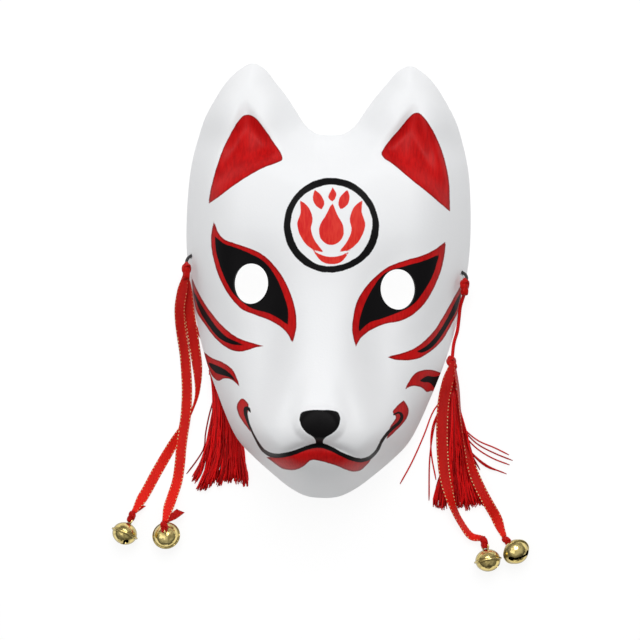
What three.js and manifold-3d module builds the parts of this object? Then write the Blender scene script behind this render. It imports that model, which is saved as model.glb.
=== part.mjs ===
// Kitsune mask: a thin moulded shell that lies face up on its rim, with an elastic across its
// hollow, and at each side a knotted ribbon with two tails, two brass bells and a tassel.
// Millimetres, +X to the right of the face, +Y towards the ears, +Z out of the face.

import * as THREE from 'three';
import { LoftGeometry } from 'three/addons/geometries/LoftGeometry.js';
import { mergeVertices } from 'three/addons/utils/BufferGeometryUtils.js';
import Module from 'manifold-3d';

const MASK_HEIGHT = 255; // chin to ear tips
const MASK_WIDTH = 168; // cheek to cheek
const MASK_DEPTH = 86; // floor to nose tip
const WALL = 2;
const JAW_LIFT = 12; // how far the rim rises at the jaw, to follow a face
const EAR_LIFT = 10; // how far it rises at the ear tips
const BROW_LIFT = 12; // and between the ears

const EYE_SPACING = 84; // hole centre to hole centre
const EYE_WIDTH = 20;
const EYE_HEIGHT = 23;
const EYE_LEVEL = { left: -2.6, right: -4 }; // along Y, cut by eye
const EYE_LEAN = 8; // degrees that each hole leans in at the top

const TIE_HOLE = 3.6; // diameter
const TIE_RISE = 8; // centre above the floor
const TIE_LEVEL = { left: 13.5, right: 7 }; // along Y, punched by eye
const ELASTIC_DIAMETER = 1.8;
const KNOT_LENGTH = 8; // ribbon knot at a tie hole, along Y
const KNOT_WIDTH = 6;
const KNOT_DROP = 9; // from the tie hole down to the knot's centre

const RIBBON_WIDTH = 6.2;
const RIBBON_THICKNESS = 0.6;
const CORD_DIAMETER = 2; // the tassel's hanging cord

const BELL_DIAMETER = 14.8;
const BELL_HEIGHT = 13; // pole to pole
const BELL_FLANGE = 16.4; // diameter of the seam's flange
const BELL_FLANGE_THICKNESS = 1.1;
const BELL_WALL = 0.7;
const BELL_SLOT = 1.5; // width
const BELL_SLOT_END = 3; // diameter of the slot's round ends
const BELL_SLOT_SPAN = 10; // end centre to end centre
const LOOP_DIAMETER = 3.6; // middle of the wire
const LOOP_WIRE = 1.1;
const TIE_KNOT = 4.4; // ribbon knot on a bell's loop

const TASSEL_LENGTH = 80;
const TASSEL_SPREAD = 30; // width across the cut ends
const TASSEL_THICKNESS = 5; // lying flat
const TASSEL_HEAD = 6; // diameter

const CLEARANCE = 0.3; // between touching pieces

const halfWidth = MASK_WIDTH / 2;
const halfHeight = MASK_HEIGHT / 2;
const sign = { left: -1, right: 1 };
const { lerp, smoothstep, degToRad } = THREE.MathUtils;
const wasm = await Module();
wasm.setup();

const colours = { white: 0xeef0f2, black: 0x111111, red: 0xc8191c, gold: 0xc9a648 };

function finish(colour, roughness, metalness = 0) {
  return new THREE.MeshStandardMaterial({ color: colour, roughness, metalness });
}

// Joining and cutting

function toSolid(geometry) {
  const bare = new THREE.BufferGeometry();
  bare.setAttribute('position', geometry.attributes.position);
  bare.setIndex(geometry.index);
  const merged = mergeVertices(bare);
  const vertProperties = new Float32Array(merged.attributes.position.array);
  const triVerts = new Uint32Array(merged.index.array);
  return new wasm.Manifold(new wasm.Mesh({ numProp: 3, vertProperties, triVerts }));
}

function toGeometry(solid) {
  const { vertProperties, triVerts } = solid.getMesh();
  const geometry = new THREE.BufferGeometry();
  geometry.setAttribute('position', new THREE.BufferAttribute(vertProperties, 3));
  geometry.setIndex(new THREE.BufferAttribute(triVerts, 1));
  geometry.computeVertexNormals();
  return geometry;
}

// Smooth curve through [place, value] stations
function profile(stations, place) {
  const last = stations.length - 1;
  if (place <= stations[0][0]) return stations[0][1];
  if (place >= stations[last][0]) return stations[last][1];
  const slope = (i) => {
    const before = stations[Math.max(i - 1, 0)];
    const after = stations[Math.min(i + 1, last)];
    return (after[1] - before[1]) / (after[0] - before[0]);
  };
  const i = stations.findIndex((station) => station[0] > place) - 1;
  const span = stations[i + 1][0] - stations[i][0];
  const t = (place - stations[i][0]) / span;
  const near = stations[i][1] * (1 + 2 * t) + slope(i) * span * t;
  const far = stations[i + 1][1] * (3 - 2 * t) + slope(i + 1) * span * (t - 1);
  return near * (1 - t) ** 2 + far * t ** 2;
}

// Form of the mask, as shares: across by half the width, along by half the height

// Outline seen from the front, chin to ear tip to the dip between the ears
const OUTLINE = [
  [0, -1], [0.115, -0.992], [0.235, -0.953], [0.375, -0.88], [0.495, -0.805], [0.605, -0.72],
  [0.755, -0.5], [0.878, -0.27], [0.955, -0.06], [0.993, 0.12], [1, 0.3], [0.975, 0.53],
  [0.92, 0.68], [0.878, 0.755], [0.815, 0.828], [0.74, 0.903], [0.655, 0.962], [0.55, 1],
  [0.462, 0.972], [0.39, 0.915], [0.32, 0.86], [0.245, 0.79], [0.17, 0.717], [0.09, 0.68], [0, 0.674],
];
// Height above the floor by half the height: along the middle, and on the cheeks beside it
const MIDDLE = [
  [-1, 0.44], [-0.94, 0.54], [-0.88, 0.64], [-0.815, 0.74], [-0.75, 0.835], [-0.7, 0.895],
  [-0.64, 0.935], [-0.57, 0.925], [-0.48, 0.865], [-0.33, 0.765], [-0.16, 0.68], [-0.04, 0.64],
  [0.1, 0.625], [0.24, 0.61], [0.47, 0.54], [0.68, 0.42], [1, 0.28],
];
const CHEEK = [
  [-1, 0.33], [-0.9, 0.35], [-0.78, 0.38], [-0.65, 0.41], [-0.5, 0.44], [-0.35, 0.475],
  [-0.15, 0.505], [0, 0.515], [0.24, 0.51], [0.47, 0.465], [0.68, 0.385], [0.8, 0.325], [1, 0.25],
];
// Half width of the snout's ridge by half the width
const RIDGE = [
  [-1, 0.5], [-0.86, 0.54], [-0.74, 0.52], [-0.62, 0.45], [-0.5, 0.38], [-0.35, 0.31],
  [-0.16, 0.28], [0.04, 0.34], [0.24, 0.58], [0.47, 0.72], [1, 0.72],
];
const RIDGE_FALL = 2.9; // how squarely the ridge falls away
// How far in from the rim the side wall turns over
const EDGE_REACH = { jaw: 0.27, face: 0.44, ear: 0.19 };
const EDGE_FALL = 2.2;
const NOSE = { level: -0.62, halfWidth: 0.15, halfHeight: 0.075, rise: 0.046 };
const MUZZLE = { across: 0.24, level: -0.71, halfWidth: 0.17, halfHeight: 0.113, rise: 0.04 };
const CREASE = { across: 0.2, level: -0.57, lean: 0.5, halfWidth: 0.06, halfHeight: 0.12, depth: 0.03 };
const MOUTH = { reach: 0.5, depth: 0.034, width: 0.02 };
const LIP = { below: 0.075, rise: 0.03, width: 0.045 };
const RECESS = {
  corners: [[0.585, 0.8], [0.325, 0.575], [0.86, 0.35]], depth: 0.085, slope: 0.08, round: 0.03,
};

// The line between the lips, along by half the height, from the middle outwards
const MOUTH_LINE = [[0, -0.715], [0.12, -0.728], [0.28, -0.775], [0.4, -0.78], [0.5, -0.74], [0.6, -0.66]];

const outlineCurve = new THREE.CatmullRomCurve3(
  [...OUTLINE, ...OUTLINE.slice(1, -1).reverse().map(([across, along]) => [-across, along])].map(
    ([across, along]) => new THREE.Vector3(across * halfWidth, along * halfHeight, 0),
  ),
  true,
);
const RIM_STEPS = 96;
const rim = outlineCurve.getSpacedPoints(RIM_STEPS).slice(0, RIM_STEPS);
for (let i = 1; i < RIM_STEPS / 2; i += 1) {
  rim[RIM_STEPS - i].set(-rim[i].x, rim[i].y, 0);
}
rim[0].x = 0;
rim[RIM_STEPS / 2].x = 0;
const rimLines = rim.map((point, i) => new THREE.Line3(point, rim[(i + 1) % RIM_STEPS]));

function edgeDistance(x, y) {
  const point = new THREE.Vector3(x, y, 0);
  const foot = new THREE.Vector3();
  return Math.min(...rimLines.map((line) => line.closestPointToPoint(point, true, foot).distanceTo(point)));
}

function rimHeight(x, y) {
  const across = Math.abs(x) / halfWidth;
  const along = y / halfHeight;
  const jaw = smoothstep(-along, 0.08, 0.42) * (1 - smoothstep(-along, 0.72, 0.93));
  const ear = smoothstep(along, 0.62, 0.95) * smoothstep(across, 0.1, 0.45);
  const brow = smoothstep(along, 0.5, 0.66) * (1 - smoothstep(across, 0.1, 0.45));
  return jaw * JAW_LIFT + ear * EAR_LIFT + brow * BROW_LIFT;
}

// How deep a point lies inside the ear's triangle with its corners rounded, by half the width
function recessDepth(across, along) {
  const corners = RECESS.corners.map(([cx, cy]) => new THREE.Vector2(cx, (cy * halfHeight) / halfWidth));
  const point = new THREE.Vector2(across, (along * halfHeight) / halfWidth);
  const depths = corners.map((corner, i) => {
    const side = corners[(i + 1) % corners.length].clone().sub(corner);
    return side.cross(point.clone().sub(corner)) / side.length();
  });
  const shares = depths.map((depth) => Math.exp(-depth / RECESS.round));
  return -RECESS.round * Math.log(shares.reduce((total, share) => total + share));
}

function outerHeight(x, y) {
  const across = Math.abs(x) / halfWidth;
  const along = y / halfHeight;
  const square = (place, centre, radius) => ((place - centre) / radius) ** 2;

  const cheek = profile(CHEEK, along);
  const ridge = Math.exp(-((across / profile(RIDGE, along)) ** RIDGE_FALL));
  const top = cheek + (profile(MIDDLE, along) - cheek) * ridge;

  const earness = smoothstep(along, 0.58, 0.82);
  const jawness = smoothstep(-along, 0.2, 0.6);
  const reach = lerp(lerp(EDGE_REACH.face, EDGE_REACH.jaw, jawness), EDGE_REACH.ear, earness) * halfWidth;
  const inward = Math.min(edgeDistance(x, y) / reach, 1);
  const side = 1 - (1 - inward) ** EDGE_FALL;

  const nose = square(across, 0, NOSE.halfWidth) + square(along, NOSE.level, NOSE.halfHeight);
  const muzzle = square(across, MUZZLE.across, MUZZLE.halfWidth)
    + square(along, MUZZLE.level, MUZZLE.halfHeight);
  const creaseAcross = CREASE.across - CREASE.lean * (along - CREASE.level);
  const crease = square(across, creaseAcross, CREASE.halfWidth)
    + square(along, CREASE.level, CREASE.halfHeight);
  const belowMouth = profile(MOUTH_LINE, across) - along;
  const mouthFade = 1 - smoothstep(across, 0.7 * MOUTH.reach, MOUTH.reach);
  const recess = smoothstep(recessDepth(across, along), -0.5 * RECESS.slope, RECESS.slope)
    * smoothstep(along, 0.34, 0.6);

  const carving = NOSE.rise * smoothstep(1.5 - nose, 0, 1)
    + MUZZLE.rise * Math.exp(-muzzle)
    - CREASE.depth * Math.exp(-crease)
    - MOUTH.depth * mouthFade * Math.exp(-square(belowMouth, 0, MOUTH.width))
    + LIP.rise * mouthFade * Math.exp(-square(belowMouth, LIP.below, LIP.width))
    - RECESS.depth * recess;
  const foot = rimHeight(x, y);
  return foot + (top * MASK_DEPTH - foot) * side + carving * MASK_DEPTH * smoothstep(inward, 0, 0.5);
}

// The mask's shell: rings from a spine along the middle of the inner face out to the rim, and
// back along the outer face

const SPINE = [
  [0, -0.82], [0.17, -0.6], [0.26, -0.46], [0.42, -0.12], [0.55, 0.12], [0.69, 0.3], [0.83, 0.38], [1, 0.44],
];
const INNER_RINGS = [0, 0.07, 0.21, 0.36, 0.52, 0.68, 0.84, 0.95, 1];
const OUTER_RINGS = [1, 0.98, 0.95, 0.9, 0.84, 0.76, 0.68, 0.6, 0.52, 0.44, 0.36, 0.28, 0.21, 0.14, 0.07, 0];

function shellRing(share, inner) {
  return rim.map((edge, i) => {
    const turn = Math.min(i, RIM_STEPS - i) / (RIM_STEPS / 2);
    const spineLevel = profile(SPINE, turn) * halfHeight;
    const x = edge.x * share;
    const y = lerp(spineLevel, edge.y, share);
    const outer = new THREE.Vector3(x, y, share === 1 ? rimHeight(x, y) : outerHeight(x, y));
    if (!inner) return outer;
    if (share === 1) {
      const along = rim[(i + 1) % RIM_STEPS].clone().sub(rim[(i + RIM_STEPS - 1) % RIM_STEPS]);
      return outer.add(new THREE.Vector3(-along.y, along.x, 0).setLength(WALL));
    }
    const step = 0.5;
    const slopeX = (outerHeight(x + step, y) - outerHeight(x - step, y)) / (2 * step);
    const slopeY = (outerHeight(x, y + step) - outerHeight(x, y - step)) / (2 * step);
    return outer.sub(new THREE.Vector3(-slopeX, -slopeY, 1).setLength(WALL));
  });
}

function maskShell() {
  const rings = [
    ...INNER_RINGS.map((share) => shellRing(share, true)),
    ...OUTER_RINGS.map((share) => shellRing(share, false)),
  ];
  let shell = toSolid(new LoftGeometry(rings));

  for (const side of ['left', 'right']) {
    const eye = new THREE.Shape();
    eye.absellipse(0, 0, EYE_WIDTH / 2, EYE_HEIGHT / 2, 0, 2 * Math.PI);
    const cut = new THREE.ExtrudeGeometry(eye, { depth: MASK_DEPTH, bevelEnabled: false, curveSegments: 8 });
    cut.rotateZ(sign[side] * degToRad(EYE_LEAN));
    cut.translate((sign[side] * EYE_SPACING) / 2, EYE_LEVEL[side], 0);
    shell = shell.subtract(toSolid(cut));

    const drill = new THREE.CylinderGeometry(TIE_HOLE / 2, TIE_HOLE / 2, halfWidth / 2, 12);
    drill.rotateZ(Math.PI / 2);
    const hole = tieHole(side);
    drill.translate(hole.x, hole.y, hole.z);
    shell = shell.subtract(toSolid(drill));
  }
  return toGeometry(shell);
}

// Tie holes, knots and what hangs from them

function rimAcross(y) {
  const cheek = rim.slice(0, RIM_STEPS / 2).findIndex((point) => point.y > y);
  const [below, above] = [rim[cheek - 1], rim[cheek]];
  return lerp(below.x, above.x, (y - below.y) / (above.y - below.y));
}

function tieHole(side) {
  const y = TIE_LEVEL[side];
  return new THREE.Vector3(sign[side] * rimAcross(y), y, TIE_RISE);
}

function knotCentre(side) {
  const y = TIE_LEVEL[side] - KNOT_DROP;
  const x = rimAcross(y) + KNOT_WIDTH / 2 - 1;
  return new THREE.Vector3(sign[side] * x, y, TIE_RISE + 1);
}

// Routes of the cords, chosen by hand. The elastic's run from the left hole to the right one,
// every other route from its knot's centre, and heights are above the floor
const ELASTIC_ROUTE = [
  [-84.1, 9, 9.2], [-84.4, 11.2, 8.9], [-82.8, 13.2, 8.2], [-79.5, 13.5, 8], [-76.5, 13.8, 7.6],
  [-71, 16, 4.4], [-64, 20, 1.5], [-54, 26, 1], [-36, 33, 1], [-16, 37, 1], [6, 37.5, 1], [26, 34, 1],
  [42, 28.5, 1], [54, 21, 1], [64, 13.5, 1.5], [71, 9, 4.4], [76.5, 7.3, 7.6], [79.5, 7, 8],
  [82.8, 6.7, 8.2], [84, 4.9, 8.9], [83.7, 2.6, 9.2],
];
const ROUTES = {
  ribbon_left_front: {
    side: 'left',
    points: [
      [0.2, -4.4, 10.6], [-0.6, -12, 10.2], [-1.8, -21, 8.6], [-1.7, -29, 6.2], [-0.7, -38, 3.4],
      [1, -49, 1.5], [2.2, -61, 1.2], [2.8, -70, 1.8], [2.8, -79, 2.2], [2.3, -87, 2.3], [1.2, -95, 2.2],
      [0.2, -104, 2.1], [-0.4, -113, 1.6], [-1.8, -124, 1.2], [-4.2, -133, 4], [-6, -140, 9.4],
    ],
    bell: 'left_near',
  },
  ribbon_left_back: {
    side: 'left',
    points: [
      [1.2, -4.8, 8.5], [2.2, -11, 8.4], [3, -18, 7], [3.8, -26, 5], [5.2, -35, 3], [6.8, -45, 1.4],
      [8.4, -55, 0.8], [9.1, -64, 0.6], [8.7, -73, 0.6], [6.4, -81, 0.6], [3, -88, 0.6], [-1.2, -95.5, 0.6],
      [-6.4, -105, 0.6], [-14.4, -119.5, 0.6], [-20, -130.5, 0.9], [-23.6, -137, 2.6],
    ],
    bell: 'left_far',
  },
  tassel_cord_left: {
    side: 'left',
    points: [
      [1.4, -4.2, 5.8], [1.6, -10, 4.6], [2.4, -17, 2.9], [4, -24, 1.6], [6.4, -31, 1.3], [9.6, -37, 1.6],
      [13, -42, 2.6], [15.4, -45.6, 3.2],
    ],
  },
  tassel_cord_right: {
    side: 'right',
    points: [
      [-0.8, -4.4, 8], [-2, -10.5, 6.8], [-3, -17.5, 5.6], [-4.4, -25, 4.9], [-6.2, -32, 4.5], [-7.4, -37.6, 4.3],
    ],
  },
  ribbon_right_near: {
    side: 'right',
    points: [
      [-9, -47.4, 8.2], [-10.8, -55, 8.2], [-12.4, -63, 7], [-13.2, -71, 6.3], [-13.4, -85, 6.1],
      [-12.4, -101, 6.1], [-10.4, -114, 6.1], [-6, -128, 6], [-0.8, -138, 3.2], [5.4, -145.6, 2.4],
    ],
    bell: 'right_near',
  },
  ribbon_right_far: {
    side: 'right',
    points: [
      [-6.4, -47.4, 7], [-4.8, -58, 7], [-3.2, -72, 6.3], [0.2, -91, 6.1], [5.6, -108, 6.1], [10, -117.5, 5.9],
      [14.8, -126, 4.4], [19.6, -134, 1.6], [22.6, -141, 1.2],
    ],
    bell: 'right_far',
  },
};

// A ribbon's end from the knot's centre, the bell's heading and the loop's rise in degrees,
// and the slot's turn about the bell's own axis
const BELLS = {
  left_far: { side: 'left', centre: [-31.4, -155.2], heading: 69, rise: -14, slotTurn: 35 },
  left_near: { side: 'left', centre: [-7, -155.9], heading: 93, rise: 66, slotTurn: 20 },
  right_near: { side: 'right', centre: [15, -158.7], heading: 102, rise: -12, slotTurn: 80 },
  right_far: { side: 'right', centre: [31.3, -153.1], heading: 132, rise: -56, slotTurn: -64 },
};
const TASSELS = {
  left: { head: [17, -49.2], turn: 5 },
  right: { head: [-8.2, -51.4], turn: 5 },
};
const LOW_KNOT = [-8.1, -43.4, 4.2]; // where the right ribbon's tails part, above its tassel

function fromKnot(side, [x, y, z]) {
  const knot = knotCentre(side);
  return new THREE.Vector3(knot.x + x, knot.y + y, z);
}

function flatSection(thickness, width) {
  const [t, w, corner] = [thickness / 2, width / 2, thickness / 4];
  return new THREE.Shape([
    new THREE.Vector2(t, w - corner), new THREE.Vector2(t - corner, w), new THREE.Vector2(corner - t, w),
    new THREE.Vector2(-t, w - corner), new THREE.Vector2(-t, corner - w), new THREE.Vector2(corner - t, -w),
    new THREE.Vector2(t - corner, -w), new THREE.Vector2(t, corner - w),
  ]);
}

function roundSection(diameter) {
  const sides = Array.from({ length: 8 }, (_, i) => degToRad(i * 45));
  const radius = diameter / 2;
  return new THREE.Shape(sides.map((a) => new THREE.Vector2(radius * Math.cos(a), radius * Math.sin(a))));
}

// A route whose section never rolls, so that a ribbon's width stays level
class LevelRoute extends THREE.CatmullRomCurve3 {
  computeFrenetFrames(segments) {
    const tangents = Array.from({ length: segments + 1 }, (_, i) => this.getTangentAt(i / segments));
    const level = tangents.map((tangent) => new THREE.Vector3(0, 0, 1).projectOnPlane(tangent).normalize());
    return {
      tangents,
      normals: level,
      binormals: tangents.map((tangent, i) => tangent.clone().cross(level[i])),
    };
  }
}

function alongRoute(section, points, steps) {
  const extrudePath = new LevelRoute(points);
  return new THREE.ExtrudeGeometry(section, { steps, extrudePath, bevelEnabled: false });
}

function ellipsoid(x, y, z) {
  const ball = new THREE.SphereGeometry(0.5, 8, 6);
  ball.scale(x, y, z);
  return ball;
}

// Bell: two pressed halves joined at a flange, open only at its slot, with a wire loop on top.
// Its own axis is Z, loop up
function bell() {
  const arc = (radius, halfLong, from, to, steps) => Array.from({ length: steps + 1 }, (_, i) => {
    const angle = degToRad(lerp(from, to, i / steps));
    return new THREE.Vector2(radius * Math.cos(angle), halfLong * Math.sin(angle));
  });
  const flange = BELL_FLANGE_THICKNESS / 2;
  const seam = 9; // degrees from the middle at which each half meets the flange
  const outside = [
    ...arc(BELL_DIAMETER / 2, BELL_HEIGHT / 2, -90, -seam, 3),
    new THREE.Vector2(BELL_FLANGE / 2, -flange),
    new THREE.Vector2(BELL_FLANGE / 2, flange),
    ...arc(BELL_DIAMETER / 2, BELL_HEIGHT / 2, seam, 90, 3),
  ];
  outside[0].x = 0;
  outside[outside.length - 1].x = 0;
  const body = new THREE.LatheGeometry(outside, 12);
  body.rotateX(Math.PI / 2);
  const cavityWidth = BELL_DIAMETER - 2 * BELL_WALL;
  const cavity = new THREE.SphereGeometry(0.5, 10, 5);
  cavity.scale(cavityWidth, BELL_HEIGHT - 2 * BELL_WALL, cavityWidth);
  cavity.rotateX(Math.PI / 2);

  const slot = new THREE.Shape();
  const bridge = Math.sqrt((BELL_SLOT_END / 2) ** 2 - (BELL_SLOT / 2) ** 2);
  const lean = Math.atan2(BELL_SLOT / 2, bridge);
  slot.absarc(BELL_SLOT_SPAN / 2, 0, BELL_SLOT_END / 2, lean - Math.PI, Math.PI - lean);
  slot.absarc(-BELL_SLOT_SPAN / 2, 0, BELL_SLOT_END / 2, lean, 2 * Math.PI - lean);
  const cut = new THREE.ExtrudeGeometry(slot, { depth: BELL_HEIGHT / 2, bevelEnabled: false, curveSegments: 3 });
  cut.translate(0, 0, -BELL_HEIGHT / 2 - BELL_WALL);

  const loop = new THREE.TorusGeometry(LOOP_DIAMETER / 2, LOOP_WIRE / 2, 4, 8);
  loop.rotateX(Math.PI / 2);
  loop.translate(0, 0, BELL_HEIGHT / 2 + LOOP_DIAMETER / 2 - LOOP_WIRE / 4);
  const shell = toSolid(body).subtract(toSolid(cavity)).subtract(toSolid(cut));
  return toGeometry(shell.add(toSolid(loop).subtract(toSolid(cavity))));
}

// Height of a bell's centre when it lies on the floor with its loop raised by rise degrees
function bellRest(rise) {
  const [flat, steep] = [Math.cos(degToRad(rise)), Math.sin(degToRad(rise))];
  const body = Math.hypot((BELL_DIAMETER / 2) * flat, (BELL_HEIGHT / 2) * steep);
  const flange = (BELL_FLANGE / 2) * flat + (BELL_FLANGE_THICKNESS / 2) * Math.abs(steep);
  const loopReach = BELL_HEIGHT / 2 + LOOP_DIAMETER / 2 - LOOP_WIRE / 4;
  const loop = -steep * loopReach + (LOOP_DIAMETER + LOOP_WIRE) / 2;
  return Math.max(body, flange, steep < 0 ? loop : 0);
}

// Centre of the ribbon's knot on a bell's loop, level with the loop where the floor lets it
function tieCentre(name) {
  const { side, centre, heading, rise } = BELLS[name];
  const [flat, steep] = [Math.cos(degToRad(rise)), Math.sin(degToRad(rise))];
  const loop = BELL_HEIGHT / 2 + LOOP_DIAMETER / 2 - LOOP_WIRE / 4;
  const out = (LOOP_DIAMETER + LOOP_WIRE + TIE_KNOT) / 2 + CLEARANCE;
  const level = new THREE.Vector3(Math.cos(degToRad(heading)), Math.sin(degToRad(heading)), 0);
  const tie = fromKnot(side, [...centre, bellRest(rise) + loop * steep]).addScaledVector(level, loop * flat + out);
  return tie.setZ(Math.max(tie.z, TIE_KNOT / 2));
}

// Tassel: a bound head and a skirt of threads that lies flat, from its head along -Y
function tassel() {
  const stations = [
    [0, 0.1, 0.1], [0.6, 0.6, 0.6], [2.2, 0.95, 0.95], [4, 1, 1], [6, 0.8, 0.85], [7, 0.62, 0.7],
    [10, 0.66, 0.7], [11, 0.9, 0.8],
  ].map(([down, wide, thick]) => [down, (wide * TASSEL_HEAD) / 2, (thick * TASSEL_HEAD) / 2]);
  const skirt = [
    [0.3, 0.42, 0.92], [0.55, 0.68, 1], [0.8, 0.88, 1], [0.95, 1, 0.9], [1, 0.97, 0.8],
  ].map(([down, wide, thick]) => [
    down * TASSEL_LENGTH, (wide * TASSEL_SPREAD) / 2, (thick * TASSEL_THICKNESS) / 2,
  ]);
  const corners = 10;
  const sections = [...stations, ...skirt].map(([down, wide, thick]) => {
    return Array.from({ length: corners }, (_, i) => {
      const angle = (2 * Math.PI * i) / corners;
      return new THREE.Vector3(wide * Math.cos(angle), -down, TASSEL_HEAD / 2 + thick * Math.sin(angle));
    });
  });
  for (const ring of sections.slice(stations.length)) {
    const low = Math.min(...ring.map((point) => point.z));
    ring.forEach((point) => point.setZ(point.z - low));
  }
  return toGeometry(toSolid(new LoftGeometry(sections, { capStart: true, capEnd: true })));
}

// Assembly

const mask = new THREE.Group();

function place(name, geometry, material, position = new THREE.Vector3()) {
  const mesh = new THREE.Mesh(geometry, material);
  mesh.name = name;
  mesh.position.copy(position);
  mask.add(mesh);
  return mesh;
}

place('mask_shell', maskShell(), finish(colours.white, 0.45));
const elasticPoints = ELASTIC_ROUTE.map(([x, y, z]) => new THREE.Vector3(x, y, z));
place('elastic_cord', alongRoute(roundSection(ELASTIC_DIAMETER), elasticPoints, 36), finish(colours.black, 0.8));

const red = finish(colours.red, 0.6);
for (const side of ['left', 'right']) {
  const knot = ellipsoid(KNOT_WIDTH, KNOT_LENGTH, KNOT_WIDTH);
  place(`ribbon_knot_${side}`, knot, red, knotCentre(side));
}
const lowKnot = ellipsoid(KNOT_WIDTH, KNOT_LENGTH, KNOT_WIDTH);
place('ribbon_knot_right_low', lowKnot, red, fromKnot('right', LOW_KNOT));

const brass = finish(colours.gold, 0.25, 1);
for (const [name, { side, centre, heading, rise, slotTurn }] of Object.entries(BELLS)) {
  const mesh = place(`bell_${name}`, bell(), brass, fromKnot(side, [...centre, bellRest(rise)]));
  mesh.rotation.order = 'ZYX';
  mesh.rotation.set(0, degToRad(90 - rise), degToRad(heading));
  mesh.geometry.rotateZ(degToRad(slotTurn));
  place(`ribbon_tie_${name}`, ellipsoid(TIE_KNOT, TIE_KNOT, TIE_KNOT), red, tieCentre(name));
}

for (const [name, { side, points, bell: bellName }] of Object.entries(ROUTES)) {
  const route = points.map((point) => fromKnot(side, point));
  if (bellName) {
    const tie = tieCentre(bellName);
    const back = route[route.length - 1].clone().sub(tie).setLength(TIE_KNOT / 2 + CLEARANCE);
    route.push(tie.add(back));
    place(name, alongRoute(flatSection(RIBBON_THICKNESS, RIBBON_WIDTH), route, 24), red);
  } else {
    place(name, alongRoute(roundSection(CORD_DIAMETER), route, 8), red);
  }
}

for (const [side, { head, turn }] of Object.entries(TASSELS)) {
  const mesh = place(`tassel_${side}`, tassel(), red, fromKnot(side, [...head, 0]));
  mesh.rotation.z = degToRad(turn);
}

export default mask;
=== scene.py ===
"""Looks of a fox mask that lies face up on its rim, with its ribbons, bells and tassels.

Everything is in metres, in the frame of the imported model: +X to the right of the face,
+Y towards the ears, +Z out of the face. The face's form is worked in millimetres, from the
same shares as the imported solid. The painted markings are outlines in pixels of the
reference picture, thrown on to the face by the camera that the scene renders from.
"""

from __future__ import annotations

import logging
import math
import random
from dataclasses import dataclass, field
from enum import Enum
from typing import Callable, Sequence

import bmesh
import bpy
import numpy as np
from mathutils import Matrix, Vector


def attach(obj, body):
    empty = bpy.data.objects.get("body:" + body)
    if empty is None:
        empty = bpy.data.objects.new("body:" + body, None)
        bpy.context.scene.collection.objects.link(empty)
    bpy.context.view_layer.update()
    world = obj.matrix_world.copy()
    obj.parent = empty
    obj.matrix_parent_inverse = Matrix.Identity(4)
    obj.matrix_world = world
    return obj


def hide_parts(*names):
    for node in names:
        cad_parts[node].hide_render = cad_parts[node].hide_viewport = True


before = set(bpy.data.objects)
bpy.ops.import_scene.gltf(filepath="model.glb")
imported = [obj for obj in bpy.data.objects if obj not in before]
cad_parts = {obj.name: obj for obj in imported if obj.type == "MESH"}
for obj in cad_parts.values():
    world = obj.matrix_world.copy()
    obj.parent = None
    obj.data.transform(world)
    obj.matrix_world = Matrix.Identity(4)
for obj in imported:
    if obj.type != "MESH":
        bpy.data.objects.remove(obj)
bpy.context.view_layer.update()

MM = 0.001
BODY = "root"
log = logging.getLogger("fox_mask")

Point = tuple[float, float, float]
Pixel = tuple[float, float]
Input = float | tuple[float, ...] | bpy.types.NodeSocket


class Slot(Enum):
    """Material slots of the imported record."""

    MASK = "mask"
    ELASTIC = "elastic"
    RIBBON = "ribbon"
    TASSEL = "tassel"
    BELL = "bell"


class Side(Enum):
    """Side of the face as a viewer sees it, with its sign along X."""

    LEFT = -1
    RIGHT = 1


# Camera


@dataclass(frozen=True)
class PhotoView:
    """The camera: above the mask, leaning a little to the right of the face."""

    pixels: int = 640
    sensor: float = 36.0
    distance: float = 1.1
    metres_per_pixel: float = 0.0005916
    target: Point = (-0.0036, -0.0223, 0.0)
    lean_deg: float = 2.0
    roll_deg: float = 1.3

    @property
    def focal_pixels(self) -> float:
        """Distance from the lens to the picture, in pixels."""
        return self.distance / self.metres_per_pixel

    def axes(self) -> Matrix:
        """Camera's right, up and back directions, as the columns of a matrix."""
        lean = Matrix.Rotation(math.radians(self.lean_deg), 3, "Y")
        roll = Matrix.Rotation(math.radians(self.roll_deg), 3, "Z")
        return roll @ lean

    def place(self) -> Vector:
        """Where the camera stands."""
        return Vector(self.target) + self.axes().col[2] * self.distance

    def project(self, points: np.ndarray) -> np.ndarray:
        """Finds where points fall in the picture.

        Args:
            points: One row of x, y, z in metres for each point.

        Returns:
            One row for each point: pixels from the left and from the top.
        """
        local = (points - np.array(self.place())) @ np.array(self.axes())
        scale = self.focal_pixels / -local[:, 2]
        centre = self.pixels / 2
        return np.column_stack((centre + local[:, 0] * scale, centre - local[:, 1] * scale))

    def at_height(self, pixel: Pixel, height: float) -> Point:
        """Finds the point that a pixel shows, at a height in metres above the floor."""
        centre = self.pixels / 2
        ray = self.axes() @ Vector((pixel[0] - centre, centre - pixel[1], -self.focal_pixels))
        start = self.place()
        found = start + ray * ((height - start.z) / ray.z)
        return (found.x, found.y, height)

    def build(self) -> bpy.types.Object:
        """Makes the camera and hands it to the scene."""
        data = bpy.data.cameras.new("photo_camera")
        data.sensor_width = self.sensor
        data.lens = self.sensor * self.focal_pixels / self.pixels
        data.clip_end = 10
        camera = bpy.data.objects.new("photo_camera", data)
        camera.matrix_world = Matrix.Translation(self.place()) @ self.axes().to_4x4()
        bpy.context.scene.collection.objects.link(camera)
        bpy.context.scene.camera = camera
        return camera


VIEW = PhotoView()


# Curves and routes


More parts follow.
